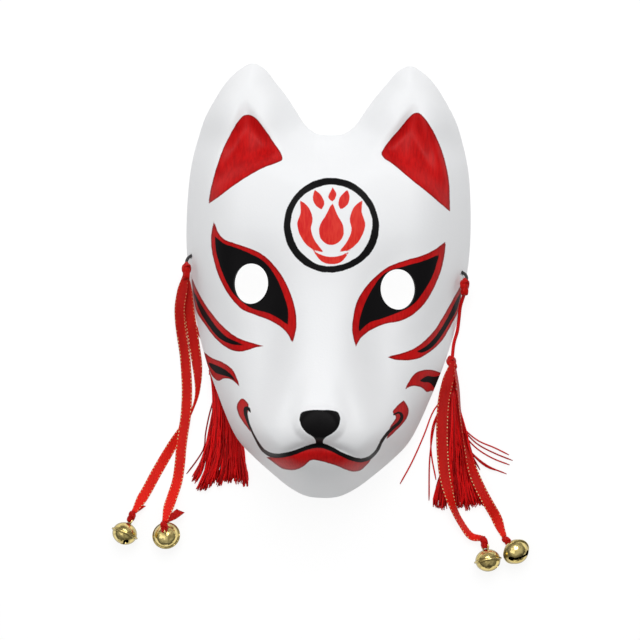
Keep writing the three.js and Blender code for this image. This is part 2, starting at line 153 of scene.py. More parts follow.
class Profile:
    """Smooth curve through stations of a place and a value."""

    def __init__(self, stations: Sequence[tuple[float, float]]) -> None:
        """Keeps the stations, which go up in place."""
        self.places = np.array([place for place, _ in stations])
        self.values = np.array([value for _, value in stations])
        before = np.maximum(np.arange(len(stations)) - 1, 0)
        after = np.minimum(np.arange(len(stations)) + 1, len(stations) - 1)
        rise = self.values[after] - self.values[before]
        self.slopes = rise / (self.places[after] - self.places[before])

    def __call__(self, place: np.ndarray) -> np.ndarray:
        """Value at each place, held level beyond the ends."""
        held = np.clip(place, self.places[0], self.places[-1])
        i = np.clip(np.searchsorted(self.places, held, "right") - 1, 0, len(self.places) - 2)
        span = self.places[i + 1] - self.places[i]
        t = (held - self.places[i]) / span
        near = self.values[i] * (1 + 2 * t) + self.slopes[i] * span * t
        far = self.values[i + 1] * (3 - 2 * t) + self.slopes[i + 1] * span * (t - 1)
        return near * (1 - t) ** 2 + far * t**2


def smoothstep(value: np.ndarray, low: float, high: float) -> np.ndarray:
    """Eases from 0 at low to 1 at high."""
    t = np.clip((value - low) / (high - low), 0, 1)
    return t * t * (3 - 2 * t)


class Route:
    """Smooth curve through given points, in any number of dimensions."""

    FINENESS = 24

    def __init__(self, points: Sequence[Sequence[float]], closed: bool = False) -> None:
        """Lays the curve through the points, round again to the first one if closed."""
        knots = np.array(points, float)
        if closed:
            knots = np.vstack((knots[-1:], knots, knots[:2]))
        else:
            knots = np.vstack((2 * knots[0] - knots[1], knots, 2 * knots[-1] - knots[-2]))
        pieces = [self._piece(*knots[i : i + 4]) for i in range(len(knots) - 3)]
        self.line = np.vstack((*pieces, knots[-2:-1]))
        steps = np.linalg.norm(np.diff(self.line, axis=0), axis=1)
        self.lengths = np.concatenate(([0.0], np.cumsum(steps)))

    def _piece(self, p0: np.ndarray, p1: np.ndarray, p2: np.ndarray, p3: np.ndarray) -> np.ndarray:
        """Points of the stretch from p1 up to p2, with centripetal spacing."""
        d0, d1, d2 = (max(np.linalg.norm(b - a) ** 0.5, 1e-6) for a, b in ((p0, p1), (p1, p2), (p2, p3)))
        start = ((p1 - p0) / d0 - (p2 - p0) / (d0 + d1) + (p2 - p1) / d1) * d1
        end = ((p2 - p1) / d1 - (p3 - p1) / (d1 + d2) + (p3 - p2) / d2) * d1
        t = np.linspace(0, 1, self.FINENESS, endpoint=False)[:, None]
        bend = 3 * (p2 - p1) - 2 * start - end
        twist = 2 * (p1 - p2) + start + end
        return p1 + start * t + bend * t**2 + twist * t**3

    @property
    def length(self) -> float:
        """Length along the curve."""
        return float(self.lengths[-1])

    def at(self, shares: np.ndarray) -> np.ndarray:
        """Points at shares of the length, one row each."""
        reach = np.asarray(shares) * self.length
        return np.column_stack([np.interp(reach, self.lengths, column) for column in self.line.T])


def level_frames(points: np.ndarray) -> tuple[np.ndarray, np.ndarray]:
    """Finds how a flat band lies along a line without rolling.

    Args:
        points: The line, one row of x, y, z for each point.

    Returns:
        For each point, the direction out of the band's face and the one across it.
    """
    ahead = np.gradient(points, axis=0)
    ahead /= np.linalg.norm(ahead, axis=1)[:, None]
    up = np.array((0.0, 0.0, 1.0)) - ahead * ahead[:, 2:3]
    up /= np.linalg.norm(up, axis=1)[:, None]
    return up, np.cross(ahead, up)


# Making objects


def finish_object(
    name: str, bm: bmesh.types.BMesh, materials: Sequence[bpy.types.Material], slot: Slot
) -> bpy.types.Object:
    """Turns a bmesh into a smooth shaded object that rides on the mask.

    Args:
        name: The piece's name.
        bm: Its mesh in metres, which is freed.
        materials: Materials in the order of the faces' material indices.
        slot: The record's slot for the piece. Not used.

    Returns:
        The new object.
    """
    for face in bm.faces:
        face.smooth = True
    mesh = bpy.data.meshes.new(name)
    bm.to_mesh(mesh)
    bm.free()
    for material in materials:
        mesh.materials.append(material)
    piece = bpy.data.objects.new(name, mesh)
    bpy.context.scene.collection.objects.link(piece)
    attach(piece, BODY)
    log.info("%s: %d faces", name, len(mesh.polygons))
    return piece


def store(mesh: bpy.types.Mesh, name: str, values: np.ndarray) -> None:
    """Stores one number for each vertex under a name that a material can read."""
    layer = mesh.attributes.new(name, "FLOAT", "POINT")
    layer.data.foreach_set("value", np.asarray(values, np.float32))


def grow_tubes(
    bm: bmesh.types.BMesh,
    grid: np.ndarray,
    marks: dict[str, np.ndarray] | None = None,
    capped: bool = True,
) -> list[bmesh.types.BMVert]:
    """Extrudes any number of tubes at once, from ring to ring.

    Args:
        bm: The mesh that gets the tubes.
        grid: Vertex places, indexed by ring, tube, corner and axis.
        marks: Numbers to keep with the vertices, each indexed by ring, tube and corner.
        capped: Whether the ends are closed with faces.

    Returns:
        The vertices made.
    """
    count, tubes, corners, _ = grid.shape
    tube_of = bm.verts.layers.int.get("tube") or bm.verts.layers.int.new("tube")
    corner_of = bm.verts.layers.int.get("corner") or bm.verts.layers.int.new("corner")
    layers = {
        name: bm.verts.layers.float.get(name) or bm.verts.layers.float.new(name) for name in marks or {}
    }
    verts: list[bmesh.types.BMVert] = []
    for tube in range(tubes):
        for corner, vert in enumerate(bmesh.ops.create_circle(bm, segments=corners, radius=1)["verts"]):
            vert[tube_of], vert[corner_of] = tube, corner
            verts.append(vert)
    edges = list({edge for vert in verts for edge in vert.link_edges})
    ends = list(edges)
    made = list(verts)
    for ring in range(count):
        if ring:
            grown = bmesh.ops.extrude_edge_only(bm, edges=edges)["geom"]
            edges = [item for item in grown if isinstance(item, bmesh.types.BMEdge)]
            verts = [item for item in grown if isinstance(item, bmesh.types.BMVert)]
            made.extend(verts)
        for vert in verts:
            tube, corner = vert[tube_of], vert[corner_of]
            vert.co = grid[ring, tube, corner]
            for name, layer in layers.items():
                vert[layer] = marks[name][ring, tube, corner]
    if capped:
        bmesh.ops.holes_fill(bm, edges=ends + edges, sides=0)
    bmesh.ops.recalc_face_normals(bm, faces=bm.faces)
    return made


def band_grid(
    points: np.ndarray,
    section: np.ndarray,
    scale: np.ndarray | None = None,
    roll: np.ndarray | None = None,
) -> np.ndarray:
    """Rings of one section along a line.

    Args:
        points: The line, one row for each ring.
        section: One row for each corner: how far across, and how far out of the face.
        scale: For each ring, the section's growth across and out. None leaves it as it is.
        roll: For each ring, the section's turn about the line. None leaves it level.

    Returns:
        A grid for grow_tubes, with one tube.
    """
    up, across = level_frames(points)
    if roll is not None:
        turn, lean = np.cos(roll)[:, None], np.sin(roll)[:, None]
        up, across = up * turn - across * lean, across * turn + up * lean
    growth = np.ones((len(points), 2)) if scale is None else scale
    wide = section[None, :, 0] * growth[:, 0:1]
    out = section[None, :, 1] * growth[:, 1:2]
    rings = points[:, None] + wide[..., None] * across[:, None] + out[..., None] * up[:, None]
    return rings[:, None]


def oval(wide: float, thick: float, corners: int, squareness: float = 1.0) -> np.ndarray:
    """Section of a band: a circle pressed to a width and a thickness, squarer below 1."""
    angle = np.arange(corners) * 2 * math.pi / corners
    across, out = np.cos(angle), np.sin(angle)
    across = np.sign(across) * np.abs(across) ** squareness
    out = np.sign(out) * np.abs(out) ** squareness
    return np.column_stack((across * wide / 2, out * thick / 2))


# Materials


class Wiring:
    """Adds nodes to one tree and links them."""

    def __init__(self, tree: bpy.types.NodeTree) -> None:
        """Works on this tree."""
        self.tree = tree

    def feed(self, socket: bpy.types.NodeSocket, value: Input) -> None:
        """Links a socket, or sets it to a plain value."""
        if isinstance(value, bpy.types.NodeSocket):
            self.tree.links.new(value, socket)
        else:
            socket.default_value = value

    def node(
        self, kind: str, inputs: dict[str | int, Input] | None = None, **settings: object
    ) -> bpy.types.Node:
        """Adds a node with its inputs fed and its settings made."""
        made = self.tree.nodes.new(kind)
        for name, value in settings.items():
            setattr(made, name, value)
        for socket, value in (inputs or {}).items():
            self.feed(made.inputs[socket], value)
        return made

    def maths(self, operation: str, first: Input, second: Input = 0.0) -> bpy.types.NodeSocket:
        """Result of one operation on numbers."""
        return self.node("ShaderNodeMath", {0: first, 1: second}, operation=operation).outputs[0]

    def spread(
        self, value: Input, low: Input, high: Input, start: float = 0.0, end: float = 1.0
    ) -> bpy.types.NodeSocket:
        """Maps low to start and high to end, smoothly and held beyond them."""
        inputs = {"Value": value, "From Min": low, "From Max": high, "To Min": start, "To Max": end}
        return self.node("ShaderNodeMapRange", inputs, interpolation_type="SMOOTHSTEP").outputs[0]

    def blend(self, share: Input, first: Input, second: Input) -> bpy.types.NodeSocket:
        """Colour between two colours."""
        made = self.node("ShaderNodeMix", data_type="RGBA")
        for index, value in ((0, share), (6, first), (7, second)):
            self.feed(made.inputs[index], value)
        return made.outputs[2]

    def between(self, share: Input, first: Input, second: Input) -> bpy.types.NodeSocket:
        """Number between two numbers."""
        return self.node("ShaderNodeMix", {0: share, 2: first, 3: second}).outputs[0]

    def attribute(self, name: str) -> bpy.types.NodeSocket:
        """Number stored with the vertices."""
        return self.node("ShaderNodeAttribute", attribute_name=name).outputs["Fac"]

    def noise(self, vector: Input, scale: float, detail: float = 2.0) -> bpy.types.NodeSocket:
        """Soft noise from 0 to 1."""
        inputs = {"Vector": vector, "Scale": scale, "Detail": detail}
        return self.node("ShaderNodeTexNoise", inputs).outputs["Fac"]

    def place(self) -> bpy.types.NodeSocket:
        """The point's place on the object."""
        return self.node("ShaderNodeTexCoord").outputs["Object"]

    def stretched(self, vector: Input, scale: Point, turn_deg: float = 0.0) -> bpy.types.NodeSocket:
        """A place turned in plan and scaled by axis."""
        turned = self.node("ShaderNodeMapping", {"Vector": vector, "Scale": scale})
        turned.inputs["Rotation"].default_value = (0, 0, math.radians(turn_deg))
        return turned.outputs[0]


class Effect:
    """A shared node group that gives masks and heights."""

    def __init__(self, name: str, inputs: Sequence[tuple[str, str]], outputs: Sequence[str]) -> None:
        """Opens the group with its sockets."""
        self.tree = bpy.data.node_groups.new(name, "ShaderNodeTree")
        for label, kind in inputs:
            self.tree.interface.new_socket(label, in_out="INPUT", socket_type=f"NodeSocket{kind}")
        for label in outputs:
            self.tree.interface.new_socket(label, in_out="OUTPUT", socket_type="NodeSocketFloat")
        self.wiring = Wiring(self.tree)
        self.given = self.tree.nodes.new("NodeGroupInput").outputs
        self.results = self.tree.nodes.new("NodeGroupOutput").inputs

    def use(self, wiring: Wiring, inputs: dict[str | int, Input]) -> bpy.types.bpy_prop_collection:
        """Adds the group to a material and gives its outputs."""
        return wiring.node("ShaderNodeGroup", inputs, node_tree=self.tree).outputs


def brushed_edge() -> Effect:
    """Cover of brush paint: 1 inside an outline whose edge wobbles a little."""
    effect = Effect("BrushedEdge", [("Distance", "Float"), ("Place", "Vector"), ("Wobble", "Float")], ["Cover"])
    wiring, given = effect.wiring, effect.given
    coarse = wiring.maths("SUBTRACT", wiring.noise(given["Place"], 260, 3), 0.5)
    fine = wiring.maths("SUBTRACT", wiring.noise(given["Place"], 1500, 2), 0.5)
    wander = wiring.maths("ADD", coarse, wiring.maths("MULTIPLY", fine, 0.5))
    moved = wiring.maths("ADD", given["Distance"], wiring.maths("MULTIPLY", wander, given["Wobble"]))
    wiring.feed(effect.results["Cover"], wiring.spread(moved, -0.35, 0.35, 1.0, 0.0))
    return effect


def brush_streaks() -> Effect:
    """Streaks that a brush leaves in paint, from 0 in thin paint to 1 in thick."""
    effect = Effect("BrushStreaks", [("Place", "Vector")], ["Streak"])
    wiring, given = effect.wiring, effect.given
    along = wiring.stretched(given["Place"], (900, 160, 300), 25)
    patches = wiring.noise(given["Place"], 70, 2)
    mixed = wiring.maths("ADD", wiring.noise(along, 1, 3), wiring.maths("MULTIPLY", patches, 0.8))
    wiring.feed(effect.results["Streak"], wiring.spread(mixed, 0.62, 1.15))
    return effect


def stitched_edges() -> Effect:
    """Dashes of thread along both edges of a ribbon, dimmer near its start as painted shade."""
    effect = Effect(
        "StitchedEdges", [("Across", "Float"), ("Along", "Float"), ("Place", "Vector")], ["Cover", "Height"]
    )
    wiring, given = effect.wiring, effect.given
    away = wiring.maths("ABSOLUTE", given["Across"])
    line = wiring.maths("ABSOLUTE", wiring.maths("SUBTRACT", away, 0.86))
    row = wiring.spread(line, 0.05, 0.12, 1.0, 0.0)
    dash = wiring.maths("SINE", wiring.maths("MULTIPLY", given["Along"], 2 * math.pi / 0.0021))
    # Stitches show fully only in random patches
    stitch_patchiness = wiring.noise(given["Place"], 420, 1)
    stitch = wiring.maths("MULTIPLY", wiring.spread(dash, 0.1, 0.5), wiring.spread(stitch_patchiness, 0.36, 0.54, 0.1, 1.0))
    # Painted shade: stitches are dimmer near the ribbon's start at the knot
    stitch_shade_near_knot = wiring.spread(given["Along"], 0.01, 0.05, 0.3, 1.0)
    cover = wiring.maths("MULTIPLY", wiring.maths("MULTIPLY", row, stitch), stitch_shade_near_knot)
    wiring.feed(effect.results["Cover"], cover)
    wiring.feed(effect.results["Height"], wiring.maths("MULTIPLY", cover, wiring.spread(line, 0.15, 0.0)))
    return effect


def new_material(name: str) -> tuple[bpy.types.Material, Wiring, bpy.types.Node]:
    """An empty material, its wiring and its Principled BSDF."""
    material = bpy.data.materials.new(name)
    material.use_nodes = True
    wiring = Wiring(material.node_tree)
    return material, wiring, material.node_tree.nodes["Principled BSDF"]


def bump(wiring: Wiring, shader: bpy.types.Node, height: Input, depth: float) -> None:
    """Gives a shader relief from a height of 0 to 1, that deep in metres."""
    made = wiring.node("ShaderNodeBump", {"Height": height, "Distance": depth, "Strength": 1.0})
    wiring.feed(shader.inputs["Normal"], made.outputs["Normal"])


RGBA = tuple[float, float, float, float]


@dataclass(frozen=True)
class MaskPaint:
    """White satin paint with red and black brush marks."""

    white: RGBA = (0.86, 0.865, 0.875, 1)
    shade: RGBA = (0.8, 0.81, 0.825, 1)
    red: RGBA = (0.4, 0.002, 0.003, 1)
    bright_red: RGBA = (0.62, 0.006, 0.006, 1)
    orange_red: RGBA = (0.7, 0.032, 0.018, 1)
    red_rim: RGBA = (0.14, 0.001, 0.0015, 1)
    black: RGBA = (0.006, 0.0055, 0.006, 1)
    ring_radius: float = 44.0
    ring_half: float = 3.5

    def material(self, edge: Effect, streaks: Effect) -> bpy.types.Material:
        """Makes the material, which reads the distances stored with the mask's vertices."""
        material, wiring, shader = new_material("mask_paint")
        place = wiring.place()

        def cover(distance: Input, wobble: float) -> bpy.types.NodeSocket:
            """Cover of one brushed shape."""
            return edge.use(wiring, {"Distance": distance, "Place": place, "Wobble": wobble})["Cover"]

        streak = streaks.use(wiring, {"Place": place})["Streak"]
        red_away = wiring.attribute("paint_red")
        red = cover(red_away, 0.8)
        emblem = cover(wiring.attribute("paint_emblem"), 0.9)
        black = cover(wiring.attribute("paint_black"), 0.7)
        nose = cover(wiring.attribute("paint_nose"), 0.8)

        radius = wiring.attribute("ring_radius")
        drift = wiring.maths("SUBTRACT", wiring.noise(place, 45, 2), 0.5)
        wandered = wiring.maths("ADD", radius, wiring.maths("MULTIPLY", drift, 3.0))
        off_ring = wiring.maths("ABSOLUTE", wiring.maths("SUBTRACT", wandered, self.ring_radius))
        swell = wiring.maths("MULTIPLY", wiring.noise(wiring.stretched(place, (1, 1, 0)), 38, 1), 2.6)
        ring_edge = wiring.maths("SUBTRACT", off_ring, wiring.maths("ADD", swell, self.ring_half - 1.3))
        ring = cover(ring_edge, 1.2)

        off_line = wiring.maths("ABSOLUTE", wiring.attribute("mouth_across"))
        line_edge = wiring.maths("SUBTRACT", off_line, wiring.attribute("mouth_half"))
        mouth = cover(line_edge, 1.0)

        ground = wiring.blend(wiring.noise(place, 22, 3), self.shade, self.white)
        deep = wiring.blend(wiring.maths("MULTIPLY", streak, 0.7), self.red, self.bright_red)
        rim = wiring.spread(red_away, -1.9, -0.5, 0.0, 0.6)
        deep = wiring.blend(rim, deep, self.red_rim)
        painted = wiring.blend(red, ground, deep)
        flame = wiring.blend(streak, self.bright_red, self.orange_red)
        painted = wiring.blend(emblem, painted, flame)
        dark = wiring.maths("MAXIMUM", wiring.maths("MAXIMUM", black, ring), mouth)
        painted = wiring.blend(dark, painted, self.black)
        painted = wiring.blend(nose, painted, self.black)
        wiring.feed(shader.inputs["Base Color"], painted)

        any_red = wiring.maths("MAXIMUM", red, emblem)
        gloss = wiring.between(any_red, 0.5, 0.46)
        gloss = wiring.between(dark, gloss, 0.42)
        wiring.feed(shader.inputs["Roughness"], wiring.between(nose, gloss, 0.4))
        wiring.feed(shader.inputs["Specular IOR Level"], wiring.between(wiring.maths("MAXIMUM", dark, nose), 0.12, 0.04))
        layer = wiring.maths("MAXIMUM", wiring.maths("MAXIMUM", any_red, dark), nose)
        relief = wiring.maths("ADD", wiring.maths("MULTIPLY", layer, 0.6), wiring.noise(place, 900, 2))
        bump(wiring, shader, relief, 0.00006)
        return material


@dataclass(frozen=True)
class BarePlastic:
    """Unpainted white plastic of the hollow side."""

    colour: RGBA = (0.8, 0.8, 0.79, 1)

    def material(self) -> bpy.types.Material:
        """Makes the material."""
        material, wiring, shader = new_material("bare_plastic")
        place = wiring.place()
        cloudy = wiring.blend(wiring.noise(place, 30, 3), self.colour, (0.86, 0.86, 0.85, 1))
        wiring.feed(shader.inputs["Base Color"], cloudy)
        shader.inputs["Roughness"].default_value = 0.5
        bump(wiring, shader, wiring.noise(place, 600, 2), 0.00008)
        return material


@dataclass(frozen=True)
class RibbonSatin:
    """Red satin ribbon, stitched with gold thread along both edges, with painted shade near the knot and painted light
    further along.
    """

    # red is the painted shaded tone and bright the painted lit tone, also mixed at random by mottling
    red: RGBA = (0.34, 0.0015, 0.0015, 1)
    bright: RGBA = (0.78, 0.014, 0.006, 1)
    gold: RGBA = (1.0, 0.78, 0.38, 1)

    def material(self, stitches: Effect) -> bpy.types.Material:
        """Makes the material, which reads across from -1 to 1 and along in metres."""
        material, wiring, shader = new_material("ribbon_satin")
        place = wiring.place()
        along, across = wiring.attribute("along"), wiring.attribute("across")
        made = stitches.use(wiring, {"Across": across, "Along": along, "Place": place})
        weave = wiring.maths("SINE", wiring.maths("MULTIPLY", along, 2 * math.pi / 0.00035))
        weft = wiring.maths("MULTIPLY", wiring.maths("ADD", weave, 1), 0.5)
        # Painted shade and light: darker near the knot, lighter further along the ribbon
        painted_light_along = wiring.spread(along, 0.03, 0.15, 0.0, 0.75)
        mottle = wiring.maths("MULTIPLY", wiring.noise(wiring.stretched(place, (260, 60, 60)), 1, 2), 0.5)
        cloth = wiring.blend(wiring.maths("ADD", painted_light_along, mottle), self.red, self.bright)
        wiring.feed(shader.inputs["Base Color"], wiring.blend(made["Cover"], cloth, self.gold))
        wiring.feed(shader.inputs["Roughness"], wiring.between(made["Cover"], 0.42, 0.36))
        wiring.feed(shader.inputs["Metallic"], wiring.maths("MULTIPLY", made["Cover"], 0.3))
        shader.inputs["Specular IOR Level"].default_value = 0.1
        relief = wiring.maths("ADD", wiring.maths("MULTIPLY", weft, 0.25), made["Height"])
        bump(wiring, shader, relief, 0.00022)
        return material


@dataclass(frozen=True)
class TasselThread:
    """Glossy red thread, each thread a little different."""

    dark: RGBA = (0.16, 0.0006, 0.0008, 1)
    light: RGBA = (0.86, 0.006, 0.007, 1)

    def material(self) -> bpy.types.Material:
        """Makes the material, which reads a tone from 0 to 1."""
        material, wiring, shader = new_material("tassel_thread")
        tone = wiring.attribute("tone")
        twist = wiring.noise(wiring.stretched(wiring.place(), (1, 1, 1)), 1800, 2)
        share = wiring.maths("ADD", wiring.maths("MULTIPLY", tone, 0.75), wiring.maths("MULTIPLY", twist, 0.3))
        wiring.feed(shader.inputs["Base Color"], wiring.blend(share, self.dark, self.light))
        shader.inputs["Roughness"].default_value = 0.42
        shader.inputs["Specular IOR Level"].default_value = 0.14
        bump(wiring, shader, twist, 0.00008)
        return material


@dataclass(frozen=True)
class Brass:
    """Polished pale brass of the bells, with painted dark reflections and painted shade."""

    bright: RGBA = (1.0, 0.84, 0.38, 1)
    warm: RGBA = (0.66, 0.5, 0.15, 1)
    # dark is the colour of the painted shade and the painted dark reflections
    dark: RGBA = (0.1, 0.07, 0.015, 1)

    def material(self) -> bpy.types.Material:
        """Makes the material."""
        material, wiring, shader = new_material("bell_brass")
        place = wiring.place()
        cloudy = wiring.noise(place, 160, 3)
        polished = wiring.blend(cloudy, self.bright, self.warm)
        # Painted dark reflection: darker towards grazing angles
        turned = wiring.node("ShaderNodeLayerWeight", {"Blend": 0.5}).outputs["Facing"]
        edge = wiring.maths("MULTIPLY", wiring.spread(turned, 0.35, 0.9), 0.85)
        # Painted dark reflection in streaky patches
        painted_dark_reflection = wiring.spread(wiring.noise(wiring.stretched(place, (1, 1, 1.6)), 230, 1), 0.54, 0.66, 0.0, 0.5)
        # Painted shade and reflection together: grazing darkening, streaks and the painted shade stored as crease
        painted_shade_and_reflection = wiring.maths("MAXIMUM", wiring.maths("MAXIMUM", edge, painted_dark_reflection), wiring.attribute("crease"))
        wiring.feed(shader.inputs["Base Color"], wiring.blend(painted_shade_and_reflection, polished, self.dark))
        wiring.feed(shader.inputs["Roughness"], wiring.spread(cloudy, 0.2, 0.8, 0.12, 0.24))
        shader.inputs["Metallic"].default_value = 1.0
        bump(wiring, shader, wiring.noise(place, 260, 2), 0.0006)
        return material


@dataclass(frozen=True)
class BraidedElastic:
    """Black braided elastic."""

    colour: RGBA = (0.012, 0.011, 0.012, 1)

    def material(self) -> bpy.types.Material:
        """Makes the material, which reads along in metres and across from -1 to 1."""
        material, wiring, shader = new_material("braided_elastic")
        lean = wiring.maths("MULTIPLY", wiring.attribute("across"), 4.0)
        turns = wiring.maths("MULTIPLY", wiring.attribute("along"), 2 * math.pi / 0.0011)
        braid = wiring.maths("SINE", wiring.maths("ADD", turns, lean))
        height = wiring.maths("MULTIPLY", wiring.maths("ADD", braid, 1), 0.5)
        # Painted highlight: the braid's raised ridges are painted a little lighter than its hollows
        wiring.feed(shader.inputs["Base Color"], wiring.blend(height, self.colour, (0.04, 0.038, 0.04, 1)))
        shader.inputs["Roughness"].default_value = 0.7
        bump(wiring, shader, height, 0.00015)
        return material


# Painted markings


@dataclass(frozen=True)
class Outline:
    """Closed outline in pixels of the picture, smooth between its sharp corners."""

    edges: tuple[tuple[Pixel, ...], ...]

    def ring(self) -> np.ndarray:
        """Points round the outline."""
        parts = []
        for i, edge in enumerate(self.edges):
            corner = self.edges[(i + 1) % len(self.edges)][0]
            parts.append(Route((*edge, corner)).line[:-1:4])
        return np.vstack(parts)

    def distance(self, pixels: np.ndarray, limit: float = 14.0) -> np.ndarray:
        """Signed distance of each pixel from the outline, negative inside, up to a limit."""
        ring = self.ring()
        return ring_distance(ring, pixels, limit)

    def moved(self, centre: Pixel, mirrored: bool = False) -> Outline:
        """The same outline drawn about a centre."""
        flip = -1 if mirrored else 1
        return Outline(tuple(tuple((centre[0] + flip * x, centre[1] + y) for x, y in e) for e in self.edges))


def ring_distance(ring: np.ndarray, pixels: np.ndarray, limit: float) -> np.ndarray:
    """Signed distance of pixels from a closed ring of points, negative inside.

    Args:
        ring: Points round the outline.
        pixels: Points to measure, one row each.
        limit: Distance given to everything that is further away.

    Returns:
        One distance for each pixel.
    """
    result = np.full(len(pixels), limit)
    low, high = ring.min(axis=0) - limit, ring.max(axis=0) + limit
    near = np.flatnonzero(((pixels > low) & (pixels < high)).all(axis=1))
    after = np.roll(ring, -1, axis=0)
    for chunk in np.array_split(near, max(1, len(near) // 3000)):
        points = pixels[chunk]
        away = segment_distances(points, ring, after)[0].min(axis=1)
        rises = (ring[None, :, 1] > points[:, None, 1]) != (after[None, :, 1] > points[:, None, 1])
        slope = (after[:, 0] - ring[:, 0]) / np.where(after[:, 1] == ring[:, 1], 1e-9, after[:, 1] - ring[:, 1])
        crossing = ring[None, :, 0] + (points[:, None, 1] - ring[None, :, 1]) * slope[None]
        inside = (rises & (points[:, None, 0] < crossing)).sum(axis=1) % 2 == 1
        result[chunk] = np.minimum(np.where(inside, -away, away), limit)
    return result


def segment_distances(
    points: np.ndarray, starts: np.ndarray, ends: np.ndarray
) -> tuple[np.ndarray, np.ndarray]:
    """Distance of every point from every segment, and how far along the segment it is nearest."""
    span = ends - starts
    size = np.maximum((span**2).sum(axis=1), 1e-12)
    offset = points[:, None] - starts[None]
    share = np.clip((offset * span[None]).sum(axis=2) / size[None], 0, 1)
    away = np.linalg.norm(offset - share[..., None] * span[None], axis=2)
    return away, share


@dataclass(frozen=True)
class Stroke:
    """Painted line in pixels, with its half width at each point."""

    points: tuple[tuple[float, float, float], ...]

    def measure(self, pixels: np.ndarray, reach: float = 9.0) -> tuple[np.ndarray, np.ndarray]:
        """Finds how far off the line each pixel is, and the line's half width beside it.

        Args:
            pixels: Points to measure, one row each.
            reach: How far off the line its half width is still given.

        Returns:
            Signed distances across the line, and half widths, which are negative away from it.
        """
        line = Route(self.points).line[::3]
        across = np.full(len(pixels), reach)
        half = np.full(len(pixels), -reach)
        first, last = (line[1] - line[0])[:2], (line[-2] - line[-1])[:2]
        low, high = line[:, :2].min(axis=0) - reach, line[:, :2].max(axis=0) + reach
        near = np.flatnonzero(((pixels > low) & (pixels < high)).all(axis=1))
        for chunk in np.array_split(near, max(1, len(near) // 3000)):
            away, share = segment_distances(pixels[chunk], line[:-1, :2], line[1:, :2])
            best = away.argmin(axis=1)
            rows = np.arange(len(chunk))
            start, end = line[best], line[best + 1]
            offset, span = pixels[chunk] - start[:, :2], end[:, :2] - start[:, :2]
            turn = np.sign(span[:, 0] * offset[:, 1] - span[:, 1] * offset[:, 0])
            found = away[rows, best]
            wide = start[:, 2] + (end[:, 2] - start[:, 2]) * share[rows, best]
            past_first = -(pixels[chunk] - line[0, :2]) @ first / np.linalg.norm(first)
            past_last = -(pixels[chunk] - line[-1, :2]) @ last / np.linalg.norm(last)
            past = np.where(best == 0, past_first, np.where(best == len(line) - 2, past_last, 0))
            wide = wide - 3 * np.maximum(past, 0)
            across[chunk] = np.where(found < reach, found * turn, reach)
            half[chunk] = np.where(found < reach, wide, -reach)
        return across, half


RING_CENTRE: Pixel = (331.2, 225.3)

EAR_PATCHES = (
    Outline((
        ((208, 204.6), (211.7, 185), (216.7, 166.7), (223.3, 148.3), (231.7, 131.7), (239.2, 119.6), (244.2, 115.2),
         (250, 114.8), (255.8, 118), (263.3, 127), (273.3, 141.7), (281, 153.3), (282.6, 159), (278, 162.4),
         (266.7, 166.4), (250, 175), (233.3, 186), (220, 196)),
    )),
    Outline((
        ((450, 212), (427.6, 192.7), (408, 177), (392, 163.5), (384, 158.2), (381.4, 153.6), (383.6, 148.4),
         (389, 141), (401, 127), (408.5, 117.8), (413.5, 113.4), (418.6, 112.8), (423.5, 116.8), (432.7, 130),
         (443, 154), (448.6, 178.6), (449.8, 196.5)),
    )),
)
EYE_SURROUNDS = (
    Outline((
        ((214, 220), (218, 232), (224, 239), (237, 244), (255.5, 250.6), (267, 258), (277, 269),
         (286, 283), (293, 300.6), (296, 315), (296, 330)),
        ((292, 345), (289, 336), (282, 328), (271, 321), (255.5, 315), (243, 310), (233, 300.6),
         (225, 289), (218, 274), (213, 257), (211, 242), (211.6, 232)),
    )),
    Outline((
        ((446, 241), (435.5, 249), (422, 255.6), (403, 261), (388, 267), (376, 276), (365, 288),
         (357, 301.5), (353, 318), (352, 330), (354, 340.5)),
        ((355.7, 347), (361, 338), (371, 330), (385, 324), (400, 321), (412.5, 315), (425, 303),
         (434, 288), (441, 270.5), (444.6, 254)),
    )),
)
EYE_BLACKS = (
    Outline((
        ((214.7, 236), (224, 243.5), (237, 248), (251, 254), (262, 260), (270, 268), (278, 281),
         (284, 295.5), (288, 310)),
        ((288, 325), (278, 318), (268, 313), (251, 308), (235, 295.5), (228, 285), (221, 269), (216, 251)),
    )),
    Outline((
        ((439.5, 254), (426, 260), (409, 265), (385, 273), (373.5, 287), (365, 303), (360, 318)),
        ((358, 333), (369, 323), (384, 318), (412.5, 305), (424, 291), (433, 275)),
    )),
)
CHEEK_STRIPES = (
    Outline((
        ((191, 276), (197.9, 291.4), (207.9, 308.2), (222.1, 325.4), (236.4, 337), (255.5, 343.9)),
        ((264, 346), (255.5, 347.6), (241, 351.6), (229, 349), (216, 339), (204.5, 324), (196, 310)),
    )),
    Outline((
        ((461, 285), (452.5, 300), (442.5, 317.5), (432.5, 332.5), (417.5, 346.3), (400, 353.8)),
        ((385, 356.4), (397.5, 360), (417.5, 358.8), (432.5, 350), (442.5, 340), (452.5, 322.5), (460, 307)),
    )),
    Outline((
        ((204, 352), (212, 358), (222, 362), (232, 369), (238, 381)),
        ((240, 388), (236, 383), (230, 379), (223.5, 378.6), (218, 381), (212, 375.5), (207, 364)),
    )),
    Outline((
        ((404, 391), (408, 383), (415, 373.5), (423.5, 370), (433, 370)),
        ((444, 374), (437, 394), (432, 391), (427, 392), (422, 388), (415, 386), (409, 387)),
    )),
)
